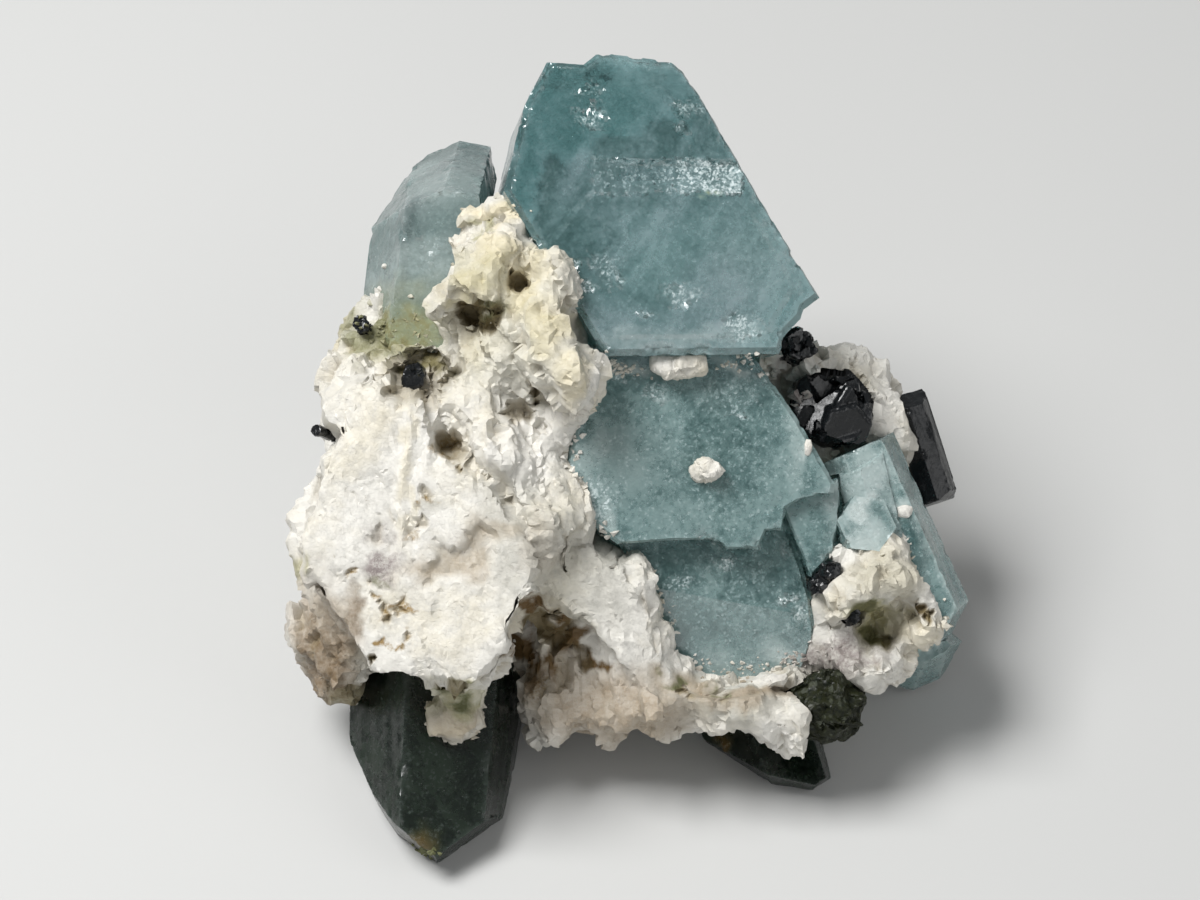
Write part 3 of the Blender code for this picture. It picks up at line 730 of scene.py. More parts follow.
def crystal(name, finish, slot, axis, step, lined=0.1, glints=0.12, **wear):
    """Dresses one crystal of the solid model."""
    bm = solid_mesh(name)
    edges = outer_edges(bm)
    sliced(bm, step)
    marks = crystal_marks(bm, edges, lined, glints)
    weathered(bm, edges, Vector(axis).normalized(), marks["frost"], marks["rust"], **wear)
    hand_over("visual_" + name, bm, finish, slot, name, marks=marks)


chipped = {"chip": 0.6, "reach": 0.8}
crystal("aquamarine_cluster", aquamarine, "aquamarine", CLUSTER_AXIS, FINE_STEP, glints=0.03, **chipped)
crystal("upper_left_crystal", pale_aquamarine, "pale_aquamarine", (2.4, 21, 2), STEP, **chipped)
crystal("right_crystal_group", aquamarine, "aquamarine", (6.5, -14.6, 0), FINE_STEP, lined=0.6)
crystal("lower_right_crystal", aquamarine, "aquamarine", (5.4, -6.5, 0.8), STEP, lined=0.5)
crystal("lower_left_crystal", deep_aquamarine, "deep_aquamarine", (-1, -21, 7.4), STEP, glints=0.02)
crystal("foot_crystal", deep_aquamarine, "deep_aquamarine", (2.8, -8.5, 5), STEP, glints=0.02)

# %% [markdown]
# ## Albite, the white matrix
#
# The matrix is a mass of albite, a white feldspar. It breaks into small tilted blocks, grows in
# upright ribs on the left and is sugary everywhere, with pits whose floors are stained brown. It
# could be sculpted by hand. Here rules do it: the solid is wrapped in a fine skin, and each point
# of the skin moves by a height that adds blocks of two sizes, ribs and grains. Deep pits sit at
# chosen places with ragged rims, and on the flat plate the blocks are calmer. Where albite meets a
# crystal its wall moves up to the crystal, so that no gap shows.

# %% A fine skin round a solid


def one_skin(node, grain, lumps=()):
    """A copy of a solid, with round lumps joined on, wrapped in one closed skin of small squares."""
    mesh = bpy.data.meshes.new("wrapped")
    bm = solid_mesh(node)
    for middle, halves in lumps:
        place = Matrix.Translation(middle) @ Matrix.Diagonal((*halves, 1))
        bmesh.ops.create_icosphere(bm, subdivisions=3, radius=1, matrix=place)
    bm.to_mesh(mesh)
    bm.free()
    wrapped = bpy.data.objects.new("wrapped", mesh)
    bpy.context.scene.collection.objects.link(wrapped)
    wrap = wrapped.modifiers.new("Skin", "REMESH")
    wrap.mode = "VOXEL"
    wrap.voxel_size = grain
    graph = bpy.context.evaluated_depsgraph_get()
    skin = bmesh.new()
    skin.from_object(wrapped, graph)
    bpy.data.objects.remove(wrapped)
    bpy.data.meshes.remove(mesh)
    return skin


def near_solids(nodes):
    """A tree that finds the nearest point on any of these solids."""
    points, faces = [], []
    for node in nodes:
        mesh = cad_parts[node].data
        start = len(points)
        points += [to_display @ vert.co for vert in mesh.vertices]
        faces += [[start + corner for corner in face.vertices] for face in mesh.polygons]
    return BVHTree.FromPolygons(points, faces)


neighbours = near_solids([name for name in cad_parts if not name.startswith("albite")])
print("the display frame's origin is", round(neighbours.find_nearest((0, 0, 0))[3], 1), "mm from a crystal")

# %% The skin of the matrix
MATRIX_GRAIN = 0.345
KNOB = Vector((-13.3, 10.9, 0.6))
# The knob under the left plate, and the small one that sits between the two upper crystals.
KNOBS = (
    (KNOB, (2.2, 1.9, 1.9)), ((-11.8, 48.2, 0.9), (1.4, 0.7, 1.0)),
    ((-9.9, 48.7, 1.6), (1.2, 0.85, 2.2)), ((-9.0, 47.3, 3.8), (0.8, 1.1, 2.0)),
)
# A crust that creeps from the white rim onto the lowest terrace.
CREEPS = (
    ((-0.2, 21.4, 1.4), (1.3, 1.6, 2.2)), ((1.0, 18.9, 1.3), (0.9, 1.9, 2.1)),
    ((1.8, 16.4, 1.0), (0.9, 1.7, 2.0)), ((3.0, 14.4, 0.3), (1.3, 1.1, 1.8)),
    ((5.2, 14.0, 0.3), (2.2, 0.8, 1.8)), ((8.4, 14.0, 0.3), (3.0, 0.8, 1.8)),
    ((11.4, 13.9, -0.6), (1.6, 0.8, 1.3)),
)
# Soft places of the skin, each a middle and a radius: the knob and the join of the crust with the rim.
ROUNDED = ((KNOB, 3.2), (Vector((4.4, 12.8, 1.2)), 2.0), (Vector((8.0, 12.8, 1.2)), 2.4))
NECK = (Vector((-13.4, 13.2, 3.2)), 2.2)  # where the knob hangs from the plate
matrix_skin = one_skin("albite_matrix", MATRIX_GRAIN, lumps=KNOBS + CREEPS)
print("skin of the matrix:", len(matrix_skin.verts), "points")

# %% [markdown]
# ## Places on the albite
#
# A real matrix differs from place to place: dark holes, calm flat faces, rusty and greenish stains.
# Some tints are painted shade, laid where the matrix lies in shadow.
# As on the crystals, the tables say where each one is, and rules fill in the rest.

# %% Pits and calm places
# Pits are a middle (across, up), a radius and a depth, with a stain from 0 to 1.
PITS = (
    (-14.2, 31.7, 1.1, 1.1, 0.6), (-13.7, 30.8, 0.8, 0.8, 0.6), (-13.1, 29.6, 0.5, 0.8, 0.8),
    (-7.4, 35.4, 1.0, 1.5, 0.9), (-8.7, 33.4, 1.2, 1.0, 0.6), (-11.8, 41.3, 1.5, 2.0, 0.9),
    (-10.2, 40.6, 0.9, 1.4, 0.8), (-8.4, 43.2, 0.9, 1.6, 0.8), (-16.3, 36.4, 2.6, 3.4, 0.5),
    (17.0, 18.5, 2.0, 1.3, 0.2), (18.7, 17.5, 1.7, 1.2, 0.2), (18.6, 16.6, 0.8, 0.7, 0.5),
    (20.8, 19.4, 0.75, 1.2, 1.0), (21.6, 18.9, 0.5, 0.9, 1.0), (-18.7, 15.5, 0.4, 1.0, 1.0),
    (-19.4, 20.9, 0.4, 0.4, 0.4), (-19.4, 19.8, 0.3, 0.3, 0.4), (-18.4, 19.4, 0.35, 0.4, 0.5),
    (-17.9, 18.6, 0.35, 0.4, 0.6), (-16.8, 20.0, 0.35, 0.4, 0.6), (-17.1, 19.1, 0.3, 0.35, 0.5),
    (-18.9, 17.4, 0.4, 0.4, 0.5), (-17.6, 16.9, 0.3, 0.3, 0.5), (-16.8, 17.8, 0.3, 0.3, 0.5),
    (-20.8, 21.7, 0.3, 0.3, 0.4), (-18.8, 24.6, 0.8, 0.4, 0.25), (-16.2, 25.4, 0.6, 0.4, 0.5),
    (-15.4, 28.0, 0.7, 0.4, 0.45), (-16.4, 26.8, 0.4, 0.3, 0.5), (-13.8, 22.4, 1.7, 0.5, 0.2),
    (-11.4, 23.8, 1.7, 0.5, 0.15), (-7.1, 18.4, 1.3, 2.2, 0.9), (-5.4, 17.0, 1.2, 1.4, 0.6),
    (-3.4, 15.2, 1.0, 1.0, 0.5), (3.4, 13.4, 0.5, 0.5, 0.6), (6.3, 12.9, 0.4, 0.4, 0.5),
    (-13.4, 13.3, 1.2, 1.2, 0.7),
)
CALM_SPOTS = (
    (-10.8, 48.4, 3.0, 1.6, 1.0), (-14.8, 44.2, 2.2, 2.4, 1.0), (8.0, 12.0, 5.0, 3.0, 0.7),
    (17.4, 18.0, 2.6, 2.4, 0.8), (-15.0, 24.0, 8.5, 10.0, 1.0), (-3.0, 21.0, 6.0, 9.0, 0.7),
    (0.0, 11.5, 7.0, 3.0, 0.4),
)
print("pits:", len(PITS), "calm spots:", len(CALM_SPOTS))

# %% Tints
# Each tint is a color and the spots that have it.
TINTS = {
    "cream": ((0.60, 0.53, 0.36), (
        (-10.4, 45.2, 2.0, 1.6, 0.9), (-12.4, 43.2, 2.2, 1.4, 0.9), (-8.2, 42.6, 1.6, 2.6, 0.9),
        (-6.4, 39.6, 1.8, 2.6, 0.9), (-4.6, 36.0, 1.8, 2.6, 0.8), (18.8, 22.0, 3.4, 2.0, 0.7),
        (21.5, 17.4, 2.4, 1.6, 0.6), (-10.6, 48.6, 3.2, 1.0, 1.0), (-17.0, 29.5, 0.5, 6.5, 0.5),
        (-13.3, 10.4, 2.2, 1.0, 0.8),
    )),
    # The shade tint is painted shade: grey where the matrix lies under the crystals or faces away from the
    # lamp.
    "shade": ((0.34, 0.33, 0.28), (
        (-4.0, 22.5, 5.0, 6.0, 0.6), (-9.5, 26.5, 3.0, 3.0, 0.4), (-15.5, 27.0, 1.2, 1.0, 0.5),
        (-9.0, 24.0, 1.6, 5.0, 0.5), (6.5, 12.8, 6.0, 2.2, 1.0), (14.5, 14.4, 4.0, 2.0, 0.6),
        (19.0, 21.5, 3.6, 2.4, 0.6),
    )),
    # Tan is the matrix's own beige, and in the shallow scallop of the left plate it is painted shade.
    "tan_and_painted_shade": ((0.35, 0.29, 0.21), (
        (-14.9, 22.3, 2.6, 1.3, 0.9), (-12.4, 22.6, 2.2, 1.4, 0.9), (-11.4, 24.6, 2.4, 1.5, 0.8),
        (-9.8, 25.4, 1.7, 1.1, 0.7), (-7.0, 24.0, 1.6, 3.0, 0.4), (-13.3, 10.8, 2.6, 1.8, 0.85),
        (4.2, 13.8, 2.8, 0.9, 1.0), (9.0, 13.5, 3.2, 0.8, 1.0),
    )),
    # Rosy is the pink of the lower albite; its dark tone on the lower middle is partly painted shade.
    "rosy_and_painted_shade": ((0.31, 0.245, 0.17), (
        (-2.0, 11.5, 7.5, 3.6, 1.0), (-23.4, 16.4, 3.2, 5.8, 1.0), (-6.0, 14.0, 3.0, 3.0, 0.8),
        (8.0, 12.8, 5.4, 1.2, 0.8),
    )),
    "olive": ((0.30, 0.28, 0.125), (
        (-18.5, 40.2, 4.8, 2.8, 1.0), (-12.0, 43.8, 4.0, 2.4, 0.5), (-9.5, 40.0, 6.5, 6.0, 0.3),
        (-24.9, 22.3, 0.9, 1.0, 0.8), (-13.3, 12.6, 2.6, 1.4, 0.8), (-11.4, 47.5, 1.4, 0.6, 0.9),
        (-22.0, 12.4, 1.4, 1.2, 0.7), (17.8, 18.2, 2.2, 2.0, 1.0),
    )),
    "lilac": ((0.21, 0.175, 0.165), (
        (-18.7, 22.2, 1.7, 1.4, 1.0), (-18.6, 24.6, 1.6, 1.0, 0.45), (14.3, 15.7, 4.4, 1.8, 0.9),
        (12.2, 35.0, 1.6, 1.3, 1.0),
    )),
    # Moss is olive grit in hollows, and in the dark gap above the left shoulder and the hole in the upper
    # mass it is painted shade.
    "moss_and_painted_shade": ((0.11, 0.115, 0.045), (
        (17.4, 19.2, 1.0, 0.6, 1.0), (17.6, 17.4, 0.8, 0.7, 1.0), (18.4, 16.7, 0.9, 0.7, 1.0),
        (-18.7, 21.4, 1.0, 0.7, 0.6), (-10.9, 41.2, 2.2, 1.0, 0.8), (-13.4, 12.9, 1.8, 0.9, 0.8),
        (-16.0, 36.8, 2.2, 1.1, 1.0), (-17.0, 38.2, 3.0, 0.5, 0.5), (-15.6, 0.9, 2.0, 1.4, 1.0),
        (-19.5, 40.4, 4.0, 2.4, 0.5), (-13.3, 12.2, 2.4, 1.4, 0.3), (3.3, 13.9, 0.9, 0.5, 0.7),
        (6.4, 13.6, 0.8, 0.4, 0.6),
    )),
    "ochre": ((0.27, 0.18, 0.07), (
        (-19.2, 19.8, 0.7, 0.4, 0.8), (-18.1, 19.1, 0.8, 0.6, 0.9), (-16.9, 19.6, 0.6, 0.9, 0.9),
        (-18.9, 17.4, 0.8, 0.4, 0.9), (-17.6, 17.0, 0.6, 0.4, 0.8), (-16.8, 17.8, 0.4, 0.5, 0.7),
        (-20.8, 21.7, 0.5, 0.4, 0.7), (-7.0, 12.9, 0.8, 1.8, 0.5), (-15.8, 27.3, 1.0, 0.5, 0.7),
        (-16.2, 24.6, 0.7, 0.8, 0.5), (-14.1, 31.4, 0.9, 1.3, 0.6),
    )),
    "brown": ((0.12, 0.07, 0.022), (
        (-5.6, 17.4, 1.1, 1.3, 1.0), (-4.4, 16.3, 1.3, 1.0, 1.0), (-2.6, 15.0, 1.5, 0.8, 0.9),
        (-6.4, 15.4, 0.7, 2.0, 0.8), (-8.1, 16.0, 1.0, 2.2, 0.9), (20.9, 19.4, 0.8, 0.6, 0.9),
        (-8.2, 19.8, 0.8, 0.8, 0.8), (-7.6, 13.2, 1.0, 2.4, 0.6), (-23.2, 14.4, 3.0, 4.6, 0.55),
        (-21.0, 19.0, 1.2, 3.0, 0.5),
    )),
}
SPECKLED = ("lilac", "ochre")  # these tints break up into fine dots
SHARP = ("moss_and_painted_shade", "ochre", "brown")  # these end abruptly
print("tints:", {name: len(spots) for name, (_, spots) in TINTS.items()})

# %% Plates, slumps and the seam
# Flat plates: an outline (across, up), the height of the face in its middle and how it slopes
# across and up, and how far its surroundings drop.
LEFT_PLATE = (
    (-25.2, 22.8), (-23.8, 28.6), (-23.9, 34.4), (-21.2, 36.4), (-16.0, 35.6), (-14.6, 31.0),
    (-10.4, 28.4), (-6.9, 22.6), (-7.4, 18.8), (-11.6, 13.5), (-18.7, 13.7), (-21.4, 16.7), (-24.1, 21.5),
)
WHITE_RIM = (
    (-5.6, 24.0), (-2.6, 24.0), (-0.8, 22.0), (1.0, 19.0), (1.9, 16.0), (4.6, 13.0), (3.6, 11.6),
    (0.6, 13.0), (-2.1, 15.8), (-4.7, 19.2), (-6.6, 21.4),
)
PLATES = ((LEFT_PLATE, 7.0, (0.10, -0.06), 1.4), (WHITE_RIM, 3.5, (-0.12, 0.06), 0.0))
PLATE_REACH = 4.5  # skin further than this from a plate's face stays
# Where the front sits lower than the solid, as a soft spot and how it moves.
SLUMPS = (
    ((6.6, 14.2, 4.6, 1.6, 1.0), (0.0, -0.9, -0.8)), ((-15.6, 44.4, 1.9, 2.8, 1.0), (2.5, -0.8, -3.4)),
    ((-21.0, 41.8, 1.6, 1.8, 1.0), (0.9, -1.6, -0.6)),
)
SLUMP_BACK = -4.0  # what lies further back than this doesn't slump
# A thin raised seam on the left plate: its points, its half width and its height.
SEAM = ((-16.4, 34.8), (-16.6, 31.5), (-17.1, 28.0), (-17.3, 24.0))
SEAM_HALF = 0.45
SEAM_RISE = 0.2
print("corners of the plates:", [len(plate[0]) for plate in PLATES])

# %% [markdown]
# ## How rough the albite is
#
# Three things make the roughness: flat blocks that each lean their own way, upright ribs on the left
# face, and grains. Each is a height above the skin, and they are added. On calm places the blocks
# and grains are lower.

# %% Height of the albite's surface
SPREAD = 37.0  # keeps neighbouring blocks from leaning alike
BIG_BLOCKS, SMALL_BLOCKS = (2.8, 0.28), (1.2, 0.14)  # size and slope
ELSEWHERE = Vector((3, 8, 5))
RIB_MIDDLE = Vector((-15.5, 28.0, 7.0))
RIB_WIDTH = 0.85
RIB_HEIGHT = 0.4
GRAINS_MEAN = 0.53


def blocks(co, size, slope):
    """Height of a surface broken into flat blocks of a size, each tilted its own way."""
    near = noise.voronoi(co / size)[1][0]
    tilt = 2 * noise.cell_vector(near * SPREAD) - Vector((1, 1, 1))
    return slope * tilt.dot(co - near * size)


def ribs(co):
    """Upright ribs, which show only on the left face of the matrix."""
    region = 1 - share_of((co - RIB_MIDDLE).length, 2.5, 7.5)
    if region <= 0:
        return 0.0
    leaning = co.x + 0.17 * co.y + 1.6 * noise.noise(co * 0.3)
    wave = abs((leaning / RIB_WIDTH) % 2 - 1)
    return region * (wave - 0.5) * RIB_HEIGHT * share_of(noise.noise(co * 0.45), -0.25, 0.35)


def seam_distance(co):
    """How far a point lies from the seam, seen from the display side."""
    place = Vector((co.x + 0.3 * noise.noise(co * 0.8), co.y))
    away = []
    for start, end in zip(SEAM, SEAM[1:]):
        along = Vector(end) - Vector(start)
        share = min(1.0, max(0.0, (place - Vector(start)).dot(along) / along.length_squared))
        away.append((place - Vector(start) - along * share).length)
    return min(away)


def albite_height(co, calm):
    """Height of the surface at a place, from 0 to 1 calm."""
    grown = Vector((co.x * 1.25 + co.y * 0.35, co.y * 0.65, co.z))
    height = blocks(grown, *BIG_BLOCKS) + blocks(grown + ELSEWHERE, *SMALL_BLOCKS)
    height = height * (1 - 0.85 * calm) + ribs(co)
    on_seam = 1 - share_of(seam_distance(co), 0, SEAM_HALF)
    height += 0.30 * calm * noise.noise(co * 0.30) + SEAM_RISE * calm * on_seam
    grains = noise.turbulence(grown * 0.55, 5, True, amplitude_scale=0.62, frequency_scale=2.1)
    return height + (0.55 - 0.27 * calm) * (grains - GRAINS_MEAN) + 0.06 * noise.noise(co * 4.3)


heights = [albite_height(Vector((0.5 * step, 20, 2)), 0) for step in range(40)]
print("the surface rises and falls from", round(min(heights), 2), "to", round(max(heights), 2), "mm")

# %% [markdown]
# The left plate and the white rim are much flatter than the rest. The skin near each is brought to
# one plane, what lies just outside drops a little, and the rim is rounded, so that a plate stands
# out as a broken slab does. Pushing the points by hand would do the same, but not twice alike.

# %% Flat plates
ROUNDING = 5
EDGE_ROUNDING = 3
PLATE_RAMP = 0.35  # how far inside its outline a plate reaches its full height
DROP_WIDTH = 1.6
RIM_HALF = 0.8


def inside(points, outline):
    """How far each point lies inside an outline of the display side; negative outside."""
    corners = np.array(outline)
    nearest = np.full(len(points), np.inf)
    odd = np.zeros(len(points), bool)
    for start, end in zip(corners, np.roll(corners, -1, axis=0)):
        side = end - start
        away = points[:, :2] - start
        along = np.clip(away @ side / (side @ side), 0, 1)
        nearest = np.minimum(nearest, np.hypot(*(away - along[:, None] * side).T))
        over = (start[1] > points[:, 1]) != (end[1] > points[:, 1])
        with np.errstate(divide="ignore", invalid="ignore"):
            odd ^= over & (points[:, 0] < start[0] + side[0] * away[:, 1] / side[1])
    return np.where(odd, nearest, -nearest)


def soften(skin, verts, times):
    axes = dict.fromkeys(("use_axis_x", "use_axis_y", "use_axis_z"), True)
    for _ in range(times):
        bmesh.ops.smooth_vert(skin, verts=verts, factor=0.5, **axes)


def flatten(skin, plates):
    """Brings the front of the skin to the flat face of each plate, and drops what lies just outside."""
    facing = normals_of(skin)[:, 2]
    points = places_of(skin)
    rags = shaken(points, 1.1, 0.3)
    for outline, height, slopes, drop in plates:
        middle = np.mean(outline, axis=0)
        depth = inside(rags, outline)
        face = height + (points[:, :2] - middle) @ np.array(slopes)
        short = np.clip(face - points[:, 2], -PLATE_REACH, PLATE_REACH)
        near_face = (np.abs(face - points[:, 2]) < PLATE_REACH) & (facing > 0.1)
        rise = np.clip(depth / PLATE_RAMP, 0, 1) * short * 0.9
        fall = np.clip(1 + depth / DROP_WIDTH, 0, 1) * (depth < 0) * (short < 1.0) * drop
        for vert, number in zip(skin.verts, np.where(near_face, np.where(depth > 0, rise, -fall), 0)):
            vert.co.z += number
        on_rim = near_face & (np.abs(depth) < RIM_HALF)
        soften(skin, [vert for vert, near in zip(skin.verts, on_rim) if near], EDGE_ROUNDING)


def round_off(skin, middle, radius):
    """Smooths the skin near a place until it is a soft lump."""
    soften(skin, [vert for vert in skin.verts if (vert.co - middle).length < radius], ROUNDING)


for middle, radius in ROUNDED:
    round_off(matrix_skin, middle, radius)
flatten(matrix_skin, PLATES)
round_off(matrix_skin, *NECK)
print("the skin with its plates reaches", round(places_of(matrix_skin)[:, 2].max(), 1), "mm out")

# %% Pits and tints
FAR_OUT = 60.0
PIT_END = 1.3  # in radii
TINTS_END = -9.0  # how far behind the display side's middle the last of a tint shows
TINT_FADE = 4.0


def hit_from_front(tree, across, up):
    """Where a line straight into the display side meets a surface."""
    return tree.ray_cast(Vector((across, up, FAR_OUT)), Vector((0, 0, -1)))[0]


def seated(skin, pits):
    """The pits with their middles on the front of the skin."""
    front = BVHTree.FromBMesh(skin)
    found = [(hit_from_front(front, across, up), *rest) for across, up, *rest in pits]
    return [pit for pit in found if pit[0]]


def pitted(move, place, pits):
    """Adds the pits to a move, and says how near a pit's floor the place is and how brown."""
    deepest, brown = 0.0, 0.0
    for middle, radius, depth, stain in pits:
        away = Vector(place) - middle
        share = Vector((away.x, away.y, away.z * 0.5)).length / radius
        if share < PIT_END:
            sunk = 1 - share_of(share, 0.55, 1.15)
            deepest = max(deepest, sunk)
            move += Vector((0, 0, -depth * sunk))
            brown = max(brown, stain * (1 - share_of(share, 0.7, PIT_END)))
    return deepest, brown


def tint_marks(points, rags):
    """How strong each tint is at each point. The tints fade out behind the display side."""
    shown = np.clip((points[:, 2] - TINTS_END) / TINT_FADE, 0, 1)
    return {name: shown * soft_spots(rags, spots) for name, (_, spots) in TINTS.items()}


print("pits that meet the matrix:", len(seated(matrix_skin, PITS)), "of", len(PITS))

# %% Move the skin
MEET = (0.5, 1.1)  # albite as near as this to a crystal moves up to it
SUNK_IN = 0.05  # and a little into it
FLOOR_FADE = (0.05, 0.6)  # above the floor


def met(move, co, normal, tree, deepest):
    """The move, turned towards a crystal that is close, but not at the floor of a pit."""
    near, _, _, distance = tree.find_nearest(co)
    if distance >= MEET[1]:
        return move
    toward = (near - co).normalized() if distance > 1e-6 else normal
    facing = share_of(normal.dot(toward), -0.1, 0.5) * (1 - share_of(distance, *MEET)) * (1 - deepest)
    return move.lerp(toward * (distance + SUNK_IN), facing)


def albite_surface(skin, tree, pits=(), scale=1.0):
    """Moves every point of the skin, and gives back what the finish needs to know about each one."""
    pits = seated(skin, pits)
    skin.normal_update()
    points = places_of(skin)
    rags = shaken(points, 2.2, 1.2) + shaken(points, 0.8, 0.6) + shaken(points, 0.35, 0.25) - 2 * points
    on_plate = [np.clip(inside(points, plate[0]) / 0.5, 0, 1) * (points[:, 2] > 1.0) for plate in PLATES]
    calm = np.maximum(soft_spots(rags, CALM_SPOTS) * 0.8, np.max(on_plate, axis=0))
    marks = tint_marks(points, rags)
    moves, stains_and_crevice_shade = [], []
    shown = scale * np.clip(points[:, 2:] - SLUMP_BACK, 0, 1)
    slumps = sum(shown * soft_spots(points, (place,))[:, None] * move for place, move in SLUMPS)
    for vert, rag, calmness, slumped in zip(skin.verts, rags, calm, slumps):
        co, normal = vert.co, vert.normal
        height = albite_height(co, calmness) * scale
        move = normal * height
        deepest, brown = pitted(move, rag, pits)
        move = met(move, co, normal, tree, deepest) + Vector(slumped)
        moves.append(move * share_of(co.y + co.z, *FLOOR_FADE))
        # Brown from a pit is a stain; brown in the low crevices of the surface is painted shade.
        stains_and_crevice_shade.append(max(brown, 0.35 * share_of(-height, 0.15, 0.5)))
    shift(skin, moves)
    for vert in skin.verts:
        below = vert.co.y + vert.co.z
        if below < 0:
            vert.co -= Vector((0, below, below)) / 2
    marks["stain"] = np.array(stains_and_crevice_shade)
    return marks


matrix_marks = albite_surface(matrix_skin, neighbours, PITS)
print("stained points of the matrix:", int((matrix_marks["stain"] > 0.5).sum()))

# %% [markdown]
# ## The finish of albite
#
# Albite is white with a sugary sparkle. Its pits hold brown stains, and its low crevices are painted
# the same brown as shade. Broad and fine noise mix three whites, the marks of the mesh lay the tints
# over them, and a grain of a fifth of a millimetre makes both the sparkle and the speckles.

# %% Albite finish
ALBITE_WHITE = (0.64, 0.62, 0.57)
ALBITE_CREAM = (0.58, 0.53, 0.41)
ALBITE_GREY = (0.46, 0.45, 0.42)
ALBITE_STAIN = (0.24, 0.19, 0.10)


def albite(name):
    made = Finish(name)
    broad = made.noise(7.0, detail=5, rough=0.6)
    fine = made.noise(0.9, detail=5, rough=0.7)
    sugar = made.noise(0.22, detail=3, rough=0.8)
    color = made.mix(made.ramp(broad, 0.45, 0.70, 0, 0.8), ALBITE_WHITE, ALBITE_CREAM)
    color = made.mix(made.ramp(fine, 0.50, 0.75, 0, 0.7), color, ALBITE_GREY)
    holes = made.ramp(made.noise(0.5, detail=3, rough=0.8), 0.66, 0.74)
    color = made.mix(made.times(holes, 0.5), color, ALBITE_STAIN)
    uneven = made.ramp(made.times(sugar, 0.4, fine), 0.45, 0.95, 0.6, 1.0)
    speckled = made.ramp(made.times(sugar, 0.5, fine), 0.55, 0.85, 0.15, 1.0)
    for tint, (tone, _) in TINTS.items():
        spread = made.times(made.mark(tint), speckled if tint in SPECKLED else uneven)
        color = made.mix(made.ramp(spread, 0.15, 0.6) if tint in SHARP else spread, color, tone)
    # The stain mark holds the pits' stains and the painted shade of the crevices.
    color = made.mix(made.ramp(made.mark("stain"), 0.05, 0.95), color, ALBITE_STAIN)
    made.set(Base_Color=color, Roughness=made.ramp(sugar, 0.3, 0.7, 0.4, 0.75))
    made.bump(made.calc("ADD", made.times(sugar, 0.10), made.facets(0.32, 0.28)), strength=0.7)
    return made.material


albite_white = albite("albite_white")

# %% The matrix
SEAM_REACH = 0.5  # from the beryl
ALONG_WALL = 0.6  # the seam runs where the skin doesn't face the beryl more than this

beryl_solids = near_solids([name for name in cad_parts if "crystal" in name or "cluster" in name])
rim = []
for vert in matrix_skin.verts:
    near, _, _, distance = beryl_solids.find_nearest(vert.co)
    if distance < SEAM_REACH and abs(vert.normal.dot((near - vert.co).normalized())) < ALONG_WALL:
        rim.append((vert.co.copy(), vert.normal.copy()))
print("points where albite meets beryl:", len(rim))
hand_over("visual_albite_matrix", matrix_skin, albite_white, "albite", "albite_matrix", marks=matrix_marks)

# %% [markdown]
# The two separate bits of albite on the beryl are made the same way with a finer skin. Their wall
# towards the crystal moves up to it, so they look grown on.

# %% Bits of albite
BIT_GRAIN = 0.13
BIT_ROUGHNESS = 0.45  # against the matrix
for node in ("albite_crust_ridge", "albite_crust_dot"):
    bit = one_skin(node, BIT_GRAIN)
    bit_marks = albite_surface(bit, neighbours, scale=BIT_ROUGHNESS)
    hand_over("visual_" + node, bit, albite_white, "albite", node, marks=bit_marks)

# %% [markdown]
# Crumbs of albite line the seam between the two minerals and sit in thin crusts on the beryl. Each
# crumb is the hull of a few scattered points, half sunk. Modelling them one by one would be slow,
# and a texture would lack their shadows.

# %% Where the crumbs are
CRUMB_SIZE = (0.18, 0.5)
RIM_CRUMBS = 600
# Crusts: across, up, half width, half height, how many crumbs and their sizes.
CRUSTS = (
    (-0.8, 36.8, 2.0, 0.5, 26, (0.12, 0.3)), (7.6, 37.2, 1.8, 0.4, 18, (0.12, 0.3)),
    (12.1, 35.0, 0.8, 0.7, 8, (0.5, 0.9)), (-4.6, 30.5, 0.8, 2.0, 12, (0.2, 0.5)),
    (12.8, 15.2, 2.4, 1.0, 70, (0.10, 0.28)), (-2.6, 24.5, 0.8, 1.2, 14, (0.2, 0.5)),
    (23.2, 18.3, 0.6, 1.2, 12, (0.2, 0.5)), (10.0, 36.8, 1.6, 0.5, 14, (0.2, 0.45)),
    (-17.2, 39.8, 4.4, 1.6, 60, (0.12, 0.34)), (-10.6, 48.4, 2.2, 0.7, 30, (0.12, 0.3)),
    (2.4, 17.2, 0.8, 2.2, 26, (0.10, 0.28)), (4.4, 14.9, 1.4, 0.8, 30, (0.10, 0.28)),
    (8.6, 14.3, 3.0, 0.5, 40, (0.10, 0.28)), (-1.8, 37.4, 1.4, 0.5, 26, (0.12, 0.32)),
    (8.4, 37.7, 1.0, 0.3, 14, (0.12, 0.3)), (-15.6, 0.9, 0.9, 0.5, 34, (0.15, 0.4)),
)
# Single rounded grains: across, up, half width, half height.
ROUND_GRAINS = ((12.9, 31.1, 0.42, 0.7), (20.3, 26.3, 0.75, 0.6), (-18.9, 44.8, 0.3, 0.25))
ROUND_CORNERS = 60
ROUND_THICK = 0.3
print("crumbs:", RIM_CRUMBS + len(ROUND_GRAINS) + sum(count for *_, count, _ in CRUSTS))

# %% Crumbs of albite
DICE_SEED = 7
dice = np.random.default_rng(DICE_SEED)


